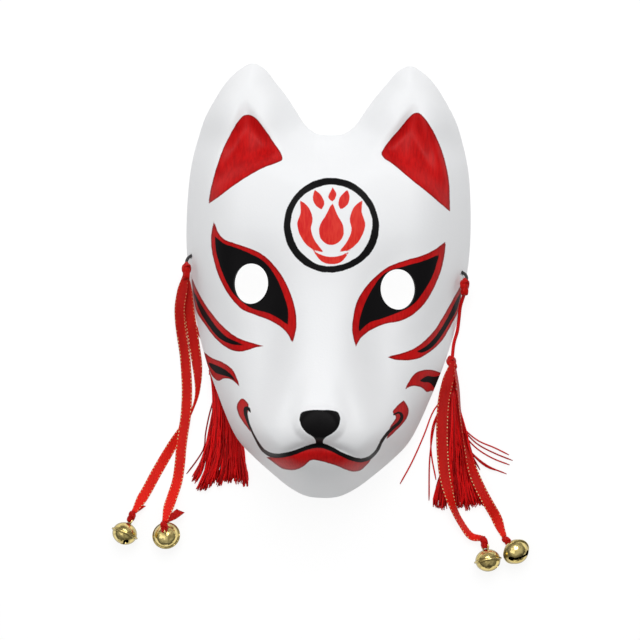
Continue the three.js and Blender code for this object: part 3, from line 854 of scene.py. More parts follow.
CHEEK_BLACKS = (
    Outline((
        ((192.6, 289), (197.1, 297.1), (202.9, 307.1), (210.7, 319), (217.9, 328.6), (226.4, 336.6), (236, 341.4)),
        ((247, 345), (239, 345.2), (231, 344), (222.4, 340.4), (215, 334), (207.9, 324.6), (200.7, 312.9),
         (195.7, 300.6)),
    )),
    Outline((
        ((461, 291), (455, 302.5), (447.5, 317.5), (437.5, 333.8), (427.5, 345)),
        ((415, 352.4), (421, 352.8), (430, 349), (440, 338), (450, 322), (457.5, 308)),
    )),
    Outline((
        ((207.6, 362), (215, 364.6), (224, 369), (231, 374.4)),
        ((236.6, 382), (230, 377.6), (223, 375.4), (216, 373), (211, 368)),
    )),
    Outline((
        ((418, 381.8), (427, 376), (435, 376.6)),
        ((444, 374), (443, 387), (435, 388), (430, 383), (423, 382.2)),
    )),
)
NOSE_PAD = Outline((
    ((299.4, 420), (301, 413), (308, 410.4), (319.7, 410), (331, 410.2), (338, 412.4), (340.3, 419),
     (338.2, 427), (333.2, 432.8), (326.4, 436.8), (323.2, 440.4), (322.6, 446.6)),
    ((316, 446.6), (315.4, 440.4), (312.8, 436.8), (306.6, 432.8), (301.8, 427)),
))
LIPS = (
    Outline((
        ((266, 457), (276, 457), (290, 454), (304, 450), (319, 447), (333, 451), (345, 457), (358, 461)),
        ((372, 458.6), (367, 464.6), (360, 470.6), (352, 471.5), (337, 466)),
        ((321.6, 461.3), (314, 460)),
        ((310, 460.7), (302.4, 467), (294.8, 470), (283.3, 469), (275.7, 464.2)),
    )),
    Outline((
        ((248.4, 403.4), (242.2, 398.2), (237, 404.9), (238, 413), (243, 422)),
        ((251.5, 433), (248.6, 423), (247.4, 415), (248.6, 409)),
    )),
    Outline((
        ((403.8, 400), (408.6, 408.7), (406.7, 418.3), (398, 428.8)),
        ((386.6, 439.3), (390, 427), (396, 417), (392.4, 412.5), (396.2, 406.8)),
    )),
)
MOUTH = Stroke((
    (250.8, 412.6, 0.4), (248.6, 409, 1.7), (246, 408.4, 2.1), (245.6, 413, 1.9), (247.2, 419.6, 1.4),
    (251.6, 430.6, 1.0), (257.4, 442, 1.2), (264, 451, 1.8), (273, 455.4, 2.2), (286, 454.8, 2.3), (298, 451.2, 2.2),
    (308, 447.4, 2.1), (319, 445.2, 2.5), (330, 448.2, 2.2), (341, 454, 2.1), (352, 458.6, 2.1),
    (360.6, 460.3, 2.1), (369.6, 457.8, 1.9), (376.8, 450.8, 1.6), (382.8, 439.3, 1.5), (390.4, 430.2, 1.6),
    (399.4, 422, 1.7), (402, 416.3, 1.6), (399.2, 412.6, 1.1), (393, 415, 0.6),
))

# A flame round a drop, with a crescent under it, drawn about the ring's centre
EMBLEM_MIDDLE = (
    Outline((
        ((1, -23), (6, -11), (12, 1), (11.6, 11.6), (5, 18.6), (-4, 19), (-11, 12), (-11.6, 1), (-5, -11)),
    )),
    Outline((
        ((-19, 24.6), (-9, 30), (0, 31.6), (9, 30.4)),
        ((19, 25.4), (9.5, 37), (0, 38.8), (-9, 36.6)),
    )),
    Outline((
        ((1.5, -38), (5, -31.5), (3.6, -26)),
        ((1, -23.6), (-3, -28), (-1.4, -32.6)),
    )),
)
EMBLEM_SIDE = Outline((
    ((7.6, 27), (19.5, 23.6), (29.6, 13), (34, -1), (30.6, -13.4)),
    ((31.4, -25.4), (23.4, -19), (18.6, -7), (20.2, 4.4), (17, 14)),
))
EMBLEM_LICK = Outline((
    ((9.6, -15.4), (16, -20.4), (18.4, -28)),
    ((16.4, -36), (9.4, -29), (7, -21.6)),
))


@dataclass(frozen=True)
class Markings:
    """Everything that is painted on the white."""

    view: PhotoView

    def emblem(self) -> list[Outline]:
        """Outlines of the emblem inside the ring."""
        sides = [shape.moved(RING_CENTRE, flip) for shape in (EMBLEM_SIDE, EMBLEM_LICK) for flip in (False, True)]
        return [shape.moved(RING_CENTRE) for shape in EMBLEM_MIDDLE] + sides

    def paint(self, mesh: bpy.types.Mesh) -> None:
        """Stores each vertex's distance from the markings, in pixels of the picture."""
        places = np.empty(len(mesh.vertices) * 3)
        mesh.vertices.foreach_get("co", places)
        pixels = self.view.project(places.reshape(-1, 3))
        layers = {
            "paint_red": [*EAR_PATCHES, *EYE_SURROUNDS, *CHEEK_STRIPES, *LIPS],
            "paint_black": [*EYE_BLACKS, *CHEEK_BLACKS],
            "paint_emblem": self.emblem(),
            "paint_nose": [NOSE_PAD],
        }
        for name, shapes in layers.items():
            store(mesh, name, np.min([shape.distance(pixels) for shape in shapes], axis=0))
        across, half = MOUTH.measure(pixels)
        store(mesh, "mouth_across", across)
        store(mesh, "mouth_half", half)
        store(mesh, "ring_radius", np.linalg.norm(pixels - np.array(RING_CENTRE), axis=1))


# The mask


@dataclass(frozen=True)
class FaceForm:
    """Form of the face, as shares: across by half the width, along by half the height."""

    half_width: float = 84.0
    half_height: float = 127.5
    depth: float = 86.0
    jaw_lift: float = 12.0
    ear_lift: float = 10.0
    brow_lift: float = 12.0
    outline: tuple[tuple[float, float], ...] = (
        (0, -1), (0.115, -0.992), (0.235, -0.953), (0.375, -0.88), (0.495, -0.805), (0.605, -0.72),
        (0.755, -0.5), (0.878, -0.27), (0.955, -0.06), (0.993, 0.12), (1, 0.3), (0.975, 0.53),
        (0.92, 0.68), (0.878, 0.755), (0.815, 0.828), (0.74, 0.903), (0.655, 0.962), (0.55, 1),
        (0.462, 0.972), (0.39, 0.915), (0.32, 0.86), (0.245, 0.79), (0.17, 0.717), (0.09, 0.68), (0, 0.674),
    )
    middle: Profile = field(default_factory=lambda: Profile((
        (-1, 0.44), (-0.94, 0.54), (-0.88, 0.64), (-0.815, 0.74), (-0.75, 0.835), (-0.7, 0.895),
        (-0.64, 0.935), (-0.57, 0.925), (-0.48, 0.865), (-0.33, 0.765), (-0.16, 0.68), (-0.04, 0.64),
        (0.1, 0.625), (0.24, 0.61), (0.47, 0.54), (0.68, 0.42), (1, 0.28),
    )))
    cheek: Profile = field(default_factory=lambda: Profile((
        (-1, 0.33), (-0.9, 0.35), (-0.78, 0.38), (-0.65, 0.41), (-0.5, 0.44), (-0.35, 0.475),
        (-0.15, 0.505), (0, 0.515), (0.24, 0.51), (0.47, 0.465), (0.68, 0.385), (0.8, 0.325), (1, 0.25),
    )))
    ridge: Profile = field(default_factory=lambda: Profile((
        (-1, 0.5), (-0.86, 0.54), (-0.74, 0.52), (-0.62, 0.45), (-0.5, 0.38), (-0.35, 0.31),
        (-0.16, 0.28), (0.04, 0.34), (0.24, 0.58), (0.47, 0.72), (1, 0.72),
    )))
    mouth_line: Profile = field(default_factory=lambda: Profile((
        (0, -0.715), (0.12, -0.728), (0.28, -0.775), (0.4, -0.78), (0.5, -0.74), (0.6, -0.66),
    )))
    spine: Profile = field(default_factory=lambda: Profile((
        (0, -0.82), (0.17, -0.6), (0.26, -0.46), (0.42, -0.12), (0.55, 0.12), (0.69, 0.3), (0.83, 0.38), (1, 0.44),
    )))
    ridge_fall: float = 2.9
    edge_fall: float = 2.2
    jaw_reach: float = 0.27
    face_reach: float = 0.44
    ear_reach: float = 0.19
    ear_corners: tuple[Pixel, ...] = ((0.585, 0.8), (0.325, 0.575), (0.86, 0.35))
    ear_depth: float = 0.085
    ear_slope: float = 0.08
    ear_round: float = 0.03

    def rim(self, steps: int) -> np.ndarray:
        """Points round the rim in plan, chin first, in millimetres."""
        right = np.array(self.outline) * (self.half_width, self.half_height)
        left = right[-2:0:-1] * (-1, 1)
        return Route(np.vstack((right, left)), closed=True).at(np.arange(steps) / steps)

    def edge_distance(self, x: np.ndarray, y: np.ndarray) -> np.ndarray:
        """Distance of each point in plan from the rim."""
        half = self.rim(512)[:257]
        points = np.column_stack((np.abs(x), y))
        parts = np.array_split(points, max(1, len(points) // 3000))
        return np.concatenate([segment_distances(part, half[:-1], half[1:])[0].min(axis=1) for part in parts])

    def foot(self, x: np.ndarray, y: np.ndarray) -> np.ndarray:
        """Height of the rim beside each point."""
        across, along = np.abs(x) / self.half_width, y / self.half_height
        jaw = smoothstep(-along, 0.08, 0.42) * (1 - smoothstep(-along, 0.72, 0.93))
        ear = smoothstep(along, 0.62, 0.95) * smoothstep(across, 0.1, 0.45)
        brow = smoothstep(along, 0.5, 0.66) * (1 - smoothstep(across, 0.1, 0.45))
        return jaw * self.jaw_lift + ear * self.ear_lift + brow * self.brow_lift

    def _ear_recess(self, across: np.ndarray, along: np.ndarray) -> np.ndarray:
        """Share of the ear's hollow at each point."""
        tall = self.half_height / self.half_width
        corners = [np.array((cx, cy * tall)) for cx, cy in self.ear_corners]
        point = np.column_stack((across, along * tall))
        depths = []
        for i, corner in enumerate(corners):
            side = corners[(i + 1) % 3] - corner
            offset = point - corner
            depths.append((side[0] * offset[:, 1] - side[1] * offset[:, 0]) / np.linalg.norm(side))
        shares = np.exp(-np.array(depths) / self.ear_round)
        depth = -self.ear_round * np.log(shares.sum(axis=0))
        inside = smoothstep(depth, -0.5 * self.ear_slope, self.ear_slope)
        return inside * smoothstep(along, 0.34, 0.6)

    def height(self, x: np.ndarray, y: np.ndarray) -> np.ndarray:
        """Height of the outer face above the floor."""
        across, along = np.abs(x) / self.half_width, y / self.half_height

        def bump_at(centre: Pixel, size: Pixel) -> np.ndarray:
            """Squared distance from a centre, in sizes."""
            return ((across - centre[0]) / size[0]) ** 2 + ((along - centre[1]) / size[1]) ** 2

        cheek = self.cheek(along)
        top = cheek + (self.middle(along) - cheek) * np.exp(-((across / self.ridge(along)) ** self.ridge_fall))
        ear, jaw = smoothstep(along, 0.58, 0.82), smoothstep(-along, 0.2, 0.6)
        reach = self.face_reach + (self.jaw_reach - self.face_reach) * jaw
        reach = (reach + (self.ear_reach - reach) * ear) * self.half_width
        inward = np.minimum(self.edge_distance(x, y) / reach, 1)
        side = 1 - (1 - inward) ** self.edge_fall
        crease_across = 0.2 - 0.5 * (along + 0.57)
        crease = ((across - crease_across) / 0.06) ** 2 + ((along + 0.57) / 0.12) ** 2
        below = self.mouth_line(across) - along
        fade = 1 - smoothstep(across, 0.35, 0.5)
        carving = (
            0.046 * smoothstep(1.5 - bump_at((0, -0.62), (0.15, 0.075)), 0, 1)
            + 0.04 * np.exp(-bump_at((0.24, -0.71), (0.17, 0.113)))
            - 0.03 * np.exp(-crease)
            - 0.034 * fade * np.exp(-((below / 0.02) ** 2))
            + 0.03 * fade * np.exp(-(((below - 0.075) / 0.045) ** 2))
            - self.ear_depth * self._ear_recess(across, along)
        )
        foot = self.foot(x, y)
        return foot + (top * self.depth - foot) * side + carving * self.depth * smoothstep(inward, 0, 0.5)

    def normal(self, x: np.ndarray, y: np.ndarray) -> np.ndarray:
        """Direction straight out of the outer face, one row for each point."""
        step = 0.05
        slope_x = (self.height(x + step, y) - self.height(x - step, y)) / (2 * step)
        slope_y = (self.height(x, y + step) - self.height(x, y - step)) / (2 * step)
        out = np.column_stack((-slope_x, -slope_y, np.ones(len(x))))
        return out / np.linalg.norm(out, axis=1)[:, None]

    def across_at(self, y: np.ndarray, z: np.ndarray) -> np.ndarray:
        """How far from the middle the side wall is at each y and height."""
        half = self.rim(512)[:257]
        widest = half[:, 0].argmax()
        outer = np.interp(y, half[: widest + 1, 1], half[: widest + 1, 0])
        low, high = outer - 12, outer - 0.01
        for _ in range(24):
            middle = (low + high) / 2
            above = self.height(middle, y) > z
            low, high = np.where(above, middle, low), np.where(above, high, middle)
        return (low + high) / 2


def loop_vertices(edges: Sequence[bmesh.types.BMEdge]) -> list[bmesh.types.BMVert]:
    """Vertices of one closed loop of edges, in order."""
    left = set(edges)
    edge = edges[0]
    vert, order = edge.verts[0], []
    while edge:
        left.discard(edge)
        order.append(vert)
        vert = edge.other_vert(vert)
        edge = next((e for e in vert.link_edges if e in left), None)
    return order


@dataclass
class Mask:
    """The moulded shell, painted outside."""

    form: FaceForm
    wall: float = 2.0
    around: int = 512
    rings: int = 72
    eye_spacing: float = 84.0
    eye_levels: tuple[tuple[Side, float], ...] = ((Side.LEFT, -2.6), (Side.RIGHT, -4.0))
    eye_size: Pixel = (20.0, 23.0)
    eye_lean_deg: float = 8.0
    tie_holes: tuple[tuple[Side, float], ...] = ((Side.LEFT, 13.5), (Side.RIGHT, 7.0))
    tie_height: float = 8.0
    tie_diameter: float = 3.6

    def _sheet(self, bm: bmesh.types.BMesh) -> None:
        """Lays the outer face out flat, as rings from the rim in to the spine."""
        rim = self.form.rim(self.around)
        turn = np.minimum(np.arange(self.around), self.around - np.arange(self.around)) / (self.around / 2)
        spine = np.column_stack((np.zeros(self.around), self.form.spine(turn) * self.form.half_height))
        shares = 1 - np.linspace(0, 1, self.rings) ** 1.25
        plan = spine[None] + (rim - spine)[None] * shares[:, None, None]
        grid = np.concatenate((plan, np.zeros((*plan.shape[:2], 1))), axis=2)[:, None]
        verts = grow_tubes(bm, grid, capped=False)
        bmesh.ops.remove_doubles(bm, verts=verts[-self.around :], dist=0.0005)

    def _open(
        self, bm: bmesh.types.BMesh, level: Callable[[Vector], float], spot: Callable[[float], Vector]
    ) -> None:
        """Opens a hole and moves its edge on to a smooth outline.

        Args:
            bm: The sheet.
            level: Gives less than 1 for a point inside the hole.
            spot: Gives the point of the outline at an angle.
        """
        doomed = [face for face in bm.faces if level(face.calc_center_median()) < 1]
        bmesh.ops.delete(bm, geom=doomed, context="FACES")
        edges = [e for e in bm.edges if e.is_boundary and level((e.verts[0].co + e.verts[1].co) / 2) < 2.5]
        loop = loop_vertices(edges)
        targets = [spot(2 * math.pi * i / len(loop)) for i in range(len(loop))]
        plans = []
        for order in (targets, targets[::-1]):
            for shift in range(len(loop)):
                turned = order[shift:] + order[:shift]
                plans.append((sum((v.co - t).length_squared for v, t in zip(loop, turned)), turned))
        for vert, target in zip(loop, min(plans, key=lambda plan: plan[0])[1]):
            vert.co = target
        fixed = set(loop)
        ring = {other for vert in loop for edge in vert.link_edges for other in edge.verts}
        for _ in range(2):
            ring |= {other for vert in ring for edge in vert.link_edges for other in edge.verts}
        loose = [vert for vert in ring - fixed if not vert.is_boundary]
        for _ in range(6):
            bmesh.ops.smooth_vert(bm, verts=loose, factor=0.5, use_axis_x=True, use_axis_y=True, use_axis_z=True)

    def _open_eyes(self, bm: bmesh.types.BMesh) -> None:
        """Opens both eye holes while the sheet is flat."""
        for side, along in self.eye_levels:
            centre = Vector((side.value * self.eye_spacing / 2, along, 0))
            turn = Matrix.Rotation(side.value * math.radians(self.eye_lean_deg), 3, "Z")
            wide, tall = self.eye_size[0] / 2, self.eye_size[1] / 2

            def level(point: Vector, centre: Vector = centre, back: Matrix = turn.transposed()) -> float:
                """Below 1 inside the ellipse."""
                local = back @ (point - centre)
                return math.hypot(local.x / wide, local.y / tall)

            def spot(angle: float, centre: Vector = centre, turn: Matrix = turn) -> Vector:
                """Point of the ellipse."""
                return centre + turn @ Vector((wide * math.cos(angle), tall * math.sin(angle), 0))

            self._open(bm, level, spot)

    def _open_ties(self, bm: bmesh.types.BMesh) -> None:
        """Opens the tie holes in the side walls of the raised sheet."""
        radius = self.tie_diameter / 2
        for side, y in self.tie_holes:

            def level(point: Vector, sign: int = side.value, y: float = y) -> float:
                """Below 1 inside the drilled hole."""
                if point.x * sign < self.form.half_width * 0.9:
                    return 9.0
                return math.hypot(point.y - y, point.z - self.tie_height) / radius

            def spot(angle: float, sign: int = side.value, y: float = y) -> Vector:
                """Point of the hole's edge on the wall."""
                along, up = y + radius * math.cos(angle), self.tie_height + radius * math.sin(angle)
                across = self.form.across_at(np.array([along]), np.array([up]))[0]
                return Vector((sign * across, along, up))

            self._open(bm, level, spot)

    def _raise(self, bm: bmesh.types.BMesh) -> None:
        """Lifts the flat sheet to the face's form."""
        places = np.array([vert.co for vert in bm.verts])
        heights = self.form.height(places[:, 0], places[:, 1])
        for vert, height in zip(bm.verts, heights):
            vert.co.z = height

    def _thicken(self, bm: bmesh.types.BMesh) -> None:
        """Adds the hollow side and closes the rim and the holes."""
        number = bm.verts.layers.int.new("number")
        outer = list(bm.verts)
        places = np.array([vert.co for vert in outer])
        inward = -self.form.normal(places[:, 0], places[:, 1])
        rim_gap = self.form.edge_distance(places[:, 0], places[:, 1])
        flat = inward.copy()
        flat[:, 2] = 0
        flat /= np.maximum(np.linalg.norm(flat, axis=1), 1e-6)[:, None]
        rim = self.form.rim(self.around)
        along = np.roll(rim, -1, axis=0) - np.roll(rim, 1, axis=0)
        corner_of = bm.verts.layers.int["corner"]
        for i, vert in enumerate(outer):
            vert[number] = i
            if rim_gap[i] < 0.02:
                span = along[vert[corner_of]]
                flat[i] = np.array((-span[1], span[0], 0)) / np.linalg.norm(span)
        share = smoothstep(rim_gap, 0.0, 1.6)[:, None]
        inner_places = places + (flat * (1 - share) + inward * share) * self.wall
        holes = self._loops([edge for edge in bm.edges if edge.is_boundary])
        made = bmesh.ops.duplicate(bm, geom=bm.verts[:] + bm.edges[:] + bm.faces[:])["geom"]
        inner = {item[number]: item for item in made if isinstance(item, bmesh.types.BMVert)}
        for i, vert in inner.items():
            vert.co = inner_places[i]
        faces = [item for item in made if isinstance(item, bmesh.types.BMFace)]
        for face in faces:
            face.material_index = 1
        bmesh.ops.reverse_faces(bm, faces=faces)
        for loop in holes:
            twins = [self._edge_between(inner, edge, number) for edge in loop]
            for edge in (*loop, *twins):
                edge.smooth = False
            bmesh.ops.bridge_loops(bm, edges=[*loop, *twins])
        bmesh.ops.recalc_face_normals(bm, faces=bm.faces)

    @staticmethod
    def _edge_between(
        inner: dict[int, bmesh.types.BMVert], edge: bmesh.types.BMEdge, number: bmesh.types.BMLayerItem
    ) -> bmesh.types.BMEdge:
        """The hollow side's copy of an edge of the outer side."""
        first, second = (inner[vert[number]] for vert in edge.verts)
        return next(other for other in first.link_edges if other.other_vert(first) == second)

    @staticmethod
    def _loops(edges: Sequence[bmesh.types.BMEdge]) -> list[list[bmesh.types.BMEdge]]:
        """Parts boundary edges into separate loops."""
        left, loops = set(edges), []
        while left:
            loop, waiting = [], [left.pop()]
            while waiting:
                edge = waiting.pop()
                loop.append(edge)
                joined = {e for vert in edge.verts for e in vert.link_edges if e in left}
                left -= joined
                waiting.extend(joined)
            loops.append(loop)
        return loops

    def build(self, paint: bpy.types.Material, bare: bpy.types.Material) -> bpy.types.Object:
        """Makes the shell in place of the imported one."""
        bm = bmesh.new()
        self._sheet(bm)
        self._open_eyes(bm)
        self._raise(bm)
        self._open_ties(bm)
        self._thicken(bm)
        bmesh.ops.scale(bm, vec=(MM, MM, MM), verts=bm.verts)
        shell = finish_object("face", bm, (paint, bare), Slot.MASK)
        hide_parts("mask_shell")
        return shell


# Ribbons, cords and what hangs from them

KNOTS: dict[Side, Point] = {Side.LEFT: (-84.2, 4.5, 9.0), Side.RIGHT: (83.2, -2.0, 9.0)}
KNOT_SHIFTS: dict[Side, Point] = {Side.LEFT: (2.0, 0.8, 3.4), Side.RIGHT: (-2.4, 1.4, 3.4)}


def from_knot(side: Side, point: Point) -> Point:
    """A point given from a knot's centre, with its height above the floor, in metres."""
    knot = KNOTS[side]
    return ((knot[0] + point[0]) * MM, (knot[1] + point[1]) * MM, point[2] * MM)


@dataclass
class Cord:
    """A round cord along a route."""

    name: str
    node: str
    points: tuple[Point, ...]
    diameter: float
    rings: int = 120

    def build(self, material: bpy.types.Material, slot: Slot) -> bpy.types.Object:
        """Sweeps the cord; its points are in metres."""
        route = Route(self.points)
        shares = np.linspace(0, 1, self.rings)
        line = route.at(shares)
        section = oval(self.diameter, self.diameter, 12)
        grid = band_grid(line, section)
        angle = np.linspace(-1, 1, 12)
        marks = {
            "along": np.broadcast_to((shares * route.length)[:, None, None], grid.shape[:3]),
            "across": np.broadcast_to(angle[None, None], grid.shape[:3]),
            "tone": np.full(grid.shape[:3], 0.5),
        }
        bm = bmesh.new()
        grow_tubes(bm, grid, marks)
        made = finish_object(self.name, bm, (material,), slot)
        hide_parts(self.node)
        return made


@dataclass
class Ribbon:
    """One tail of a ribbon, from its knot to its bell."""

    name: str
    node: str
    points: tuple[Point, ...]
    width: float = 0.0062
    thickness: float = 0.0006
    rolls_deg: tuple[Pixel, ...] = ((0, 0), (1, 0))
    widths: tuple[Pixel, ...] = ((0, 1), (1, 1))
    gather: float = 0.011
    rings: int = 150
    corners: int = 20

    def _roll(self) -> np.ndarray:
        """How far the band is turned about its line at each ring."""
        return np.radians(Profile(self.rolls_deg)(np.linspace(0, 1, self.rings)))

    def _width(self) -> np.ndarray:
        """Share of the full width that the band is spread out to at each ring."""
        return Profile(self.widths)(np.linspace(0, 1, self.rings))

    def line(self) -> np.ndarray:
        """The ribbon's middle line, raised where the band stands on edge."""
        line = Route(self.points).at(np.linspace(0, 1, self.rings))
        stand = np.abs(np.sin(self._roll())) * self._width() * self.width / 2 + self.thickness / 2
        line[:, 2] = np.maximum(line[:, 2], stand)
        return line

    def build(self, material: bpy.types.Material) -> bpy.types.Object:
        """Sweeps the band, gathered at both ends where it is knotted."""
        line = self.line()
        steps = np.linalg.norm(np.diff(line, axis=0), axis=1)
        reach = np.concatenate(([0.0], np.cumsum(steps)))
        open_up = smoothstep(np.minimum(reach, reach[-1] - reach), -0.002, self.gather)
        growth = np.column_stack(((0.5 + 0.5 * open_up) * self._width(), 2.6 - 1.6 * open_up))
        section = oval(self.width, self.thickness, self.corners, 0.45)
        grid = band_grid(line, section, growth, self._roll())
        marks = {
            "along": np.broadcast_to(reach[:, None, None], grid.shape[:3]),
            "across": np.broadcast_to((section[:, 0] / self.width * 2)[None, None], grid.shape[:3]),
        }
        bm = bmesh.new()
        grow_tubes(bm, grid, marks)
        made = finish_object(self.name, bm, (material,), Slot.RIBBON)
        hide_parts(self.node)
        return made


@dataclass
class Knot:
    """Ribbon tied in a knot, with any short cut ends that stick out of it."""

    name: str
    node: str
    centre: Point
    size: Point
    band: Pixel
    turn_deg: float = 0.0
    ends: tuple[tuple[Point, ...], ...] = ()
    end_width: float = 0.005
    rings: int = 110

    def _line(self) -> np.ndarray:
        """The band's way through the knot, as a closed loop in metres."""
        t = np.linspace(0, 2 * math.pi, self.rings)
        x = np.sin(t) + 2 * np.sin(2 * t)
        y = np.cos(t) - 2 * np.cos(2 * t)
        z = -np.sin(3 * t)
        shape = np.column_stack((x / 3, y / 3, z))
        room = np.array(self.size) / 2 - self.band[1]
        return shape * np.maximum(room, self.band[1] / 2)

    def build(self, material: bpy.types.Material) -> bpy.types.Object:
        """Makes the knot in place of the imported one."""
        bm = bmesh.new()
        line = self._line()
        ahead = np.roll(line[:-1], -1, axis=0) - np.roll(line[:-1], 1, axis=0)
        ahead /= np.linalg.norm(ahead, axis=1)[:, None]
        out = line[:-1] / np.linalg.norm(line[:-1], axis=1)[:, None]
        out -= ahead * (out * ahead).sum(axis=1)[:, None]
        out /= np.linalg.norm(out, axis=1)[:, None]
        across = np.cross(ahead, out)
        section = oval(self.band[0], self.band[1], 14, 0.6)
        rings = line[:-1, None] + section[None, :, 0:1] * across[:, None] + section[None, :, 1:] * out[:, None]
        rings = np.concatenate((rings, rings[:1]))
        turn = Matrix.Rotation(math.radians(self.turn_deg), 3, "Z")
        rings = rings @ np.array(turn).T + np.array(self.centre)
        grid = rings[:, None]
        marks = {
            "along": np.zeros(grid.shape[:3]),
            "across": np.zeros(grid.shape[:3]),
        }
        verts = grow_tubes(bm, grid, marks, capped=False)
        bmesh.ops.remove_doubles(bm, verts=verts, dist=1e-6)
        core = Matrix.Translation(self.centre) @ turn.to_4x4() @ Matrix.Diagonal((*self.size, 1)) @ Matrix.Scale(0.78, 4)
        bmesh.ops.create_icosphere(bm, subdivisions=3, radius=0.5, matrix=core)
        for end in self.ends:
            self._add_end(bm, end)
        made = finish_object(self.name, bm, (material,), Slot.RIBBON)
        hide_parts(self.node)
        return made

    def _add_end(self, bm: bmesh.types.BMesh, points: tuple[Point, ...]) -> None:
        """Adds a cut end that widens from the knot and ends in a slant."""
        line = Route(points).at(np.linspace(0, 1, 14))
        section = oval(1.0, 0.0008, 12, 0.5)
        spread = 0.0018 + (self.end_width - 0.0018) * smoothstep(np.linspace(0, 1, 14), 0.0, 0.7)
        grid = band_grid(line, section, np.column_stack((spread, np.ones(14))))
        step = line[-1] - line[-2]
        slant = section[:, 0] * 2 * 1.6
        grid[-1, 0] += slant[:, None] * step[None]
        marks = {
            "along": np.broadcast_to(np.linspace(0, 0.01, 14)[:, None, None], grid.shape[:3]),
            "across": np.broadcast_to((section[:, 0] * 2)[None, None], grid.shape[:3]),
        }
        grow_tubes(bm, grid, marks)


@dataclass
class Bell:
    """Jingle bell pressed in two halves, with a slot below and a wire loop on top."""

    name: str
    node: str
    centre: Point
    heading_deg: float
    rise_deg: float
    slot_turn_deg: float
    diameter: float = 14.8
    height: float = 13.0
    flange: float = 16.4
    flange_thickness: float = 1.1
    wall: float = 0.7
    slot: float = 1.5
    slot_end: float = 3.0
    slot_span: float = 10.0
    loop: float = 3.6
    wire: float = 1.1

    def _skin(self, bm: bmesh.types.BMesh, stations: np.ndarray) -> None:
        """Turns a profile of radius and height round the bell's axis."""
        angle = np.arange(56) * 2 * math.pi / 56
        round_about = np.column_stack((np.cos(angle), np.sin(angle)))
        radii, heights = stations[:, 0], stations[:, 1]
        plan = radii[:, None, None] * round_about[None]
        level = np.broadcast_to(heights[:, None, None], (*plan.shape[:2], 1))
        verts = grow_tubes(bm, np.concatenate((plan, level), axis=2)[:, None], capped=False)
        bmesh.ops.remove_doubles(bm, verts=verts, dist=0.002)

    def _outside(self) -> np.ndarray:
        """Profile of the outside, from the slot's pole to the loop's."""
        lower = np.radians(np.linspace(-90, -7, 16))
        upper = np.radians(np.linspace(7, 90, 16))
        rim, thick = self.flange / 2, self.flange_thickness / 2
        halves = [np.column_stack((np.cos(a) * self.diameter / 2, np.sin(a) * self.height / 2)) for a in (lower, upper)]
        corner = 0.18
        edge = np.array((
            (rim - 2 * corner, -thick), (rim - corner * 0.6, -thick + corner * 0.4), (rim, -thick + corner * 1.4),
            (rim, thick - corner * 1.4), (rim - corner * 0.6, thick - corner * 0.4), (rim - 2 * corner, thick),
        ))
        profile = np.vstack((halves[0], edge, halves[1]))
        profile[[0, -1], 0] = 0
        return profile

    def _inside(self) -> np.ndarray:
        """Profile of the hollow."""
        angle = np.radians(np.linspace(-90, 90, 24))
        profile = np.column_stack((
            np.cos(angle) * (self.diameter / 2 - self.wall), np.sin(angle) * (self.height / 2 - self.wall)
        ))
        profile[[0, -1], 0] = 0
        return profile

    def _cutters(self) -> list[bpy.types.Object]:
        """Box and two cylinders that open the slot."""
        made = []
        depth = self.height
        for kind, offset in (("bar", 0.0), ("end", self.slot_span / 2), ("end", -self.slot_span / 2)):
            bm = bmesh.new()
            if kind == "bar":
                bmesh.ops.create_cube(bm, size=1)
                bmesh.ops.scale(bm, vec=(self.slot_span, self.slot, depth), verts=bm.verts)
            else:
                radius = self.slot_end / 2
                bmesh.ops.create_cone(
                    bm, cap_ends=True, segments=24, radius1=radius, radius2=radius, depth=depth
                )
            bmesh.ops.translate(bm, vec=(offset, 0, -depth / 2), verts=bm.verts)
            mesh = bpy.data.meshes.new("slot_cutter")
            bm.to_mesh(mesh)
            bm.free()
            cutter = bpy.data.objects.new("slot_cutter", mesh)
            bpy.context.scene.collection.objects.link(cutter)
            made.append(cutter)
        return made

    def _body(self) -> bmesh.types.BMesh:
        """The hollow body with its slot cut, in millimetres, loop end up."""
        bm = bmesh.new()
        self._skin(bm, self._outside())
        bmesh.ops.recalc_face_normals(bm, faces=bm.faces)
        outer = set(bm.faces)
        self._skin(bm, self._inside())
        inner = [face for face in bm.faces if face not in outer]
        bmesh.ops.recalc_face_normals(bm, faces=list(outer))
        bmesh.ops.recalc_face_normals(bm, faces=inner)
        bmesh.ops.reverse_faces(bm, faces=inner)
        mesh = bpy.data.meshes.new("bell_blank")
        bm.to_mesh(mesh)
        bm.free()
        blank = bpy.data.objects.new("bell_blank", mesh)
        bpy.context.scene.collection.objects.link(blank)
        cutters = self._cutters()
        for cutter in cutters:
            cut = blank.modifiers.new("slot", "BOOLEAN")
            cut.operation, cut.object, cut.solver = "DIFFERENCE", cutter, "EXACT"
        graph = bpy.context.evaluated_depsgraph_get()
        result = bmesh.new()
        result.from_mesh(blank.evaluated_get(graph).to_mesh())
        for spare in (blank, *cutters):
            data = spare.data
            bpy.data.objects.remove(spare)
            bpy.data.meshes.remove(data)
        return result

    def _add_loop(self, bm: bmesh.types.BMesh) -> None:
        """Adds the wire loop on top."""
        wire = bmesh.ops.create_circle(bm, segments=14, radius=self.wire / 2)["verts"]
        top = self.height / 2 + self.loop / 2 - self.wire / 4
        bmesh.ops.rotate(bm, verts=wire, cent=(0, 0, 0), matrix=Matrix.Rotation(math.pi / 2, 3, "Y"))
        bmesh.ops.translate(bm, verts=wire, vec=(0, 0, top + self.loop / 2))
        edges = list({edge for vert in wire for edge in vert.link_edges})
        bmesh.ops.spin(
            bm, geom=[*wire, *edges], cent=(0, 0, top), axis=(0, 1, 0), angle=2 * math.pi, steps=32, use_merge=True
        )

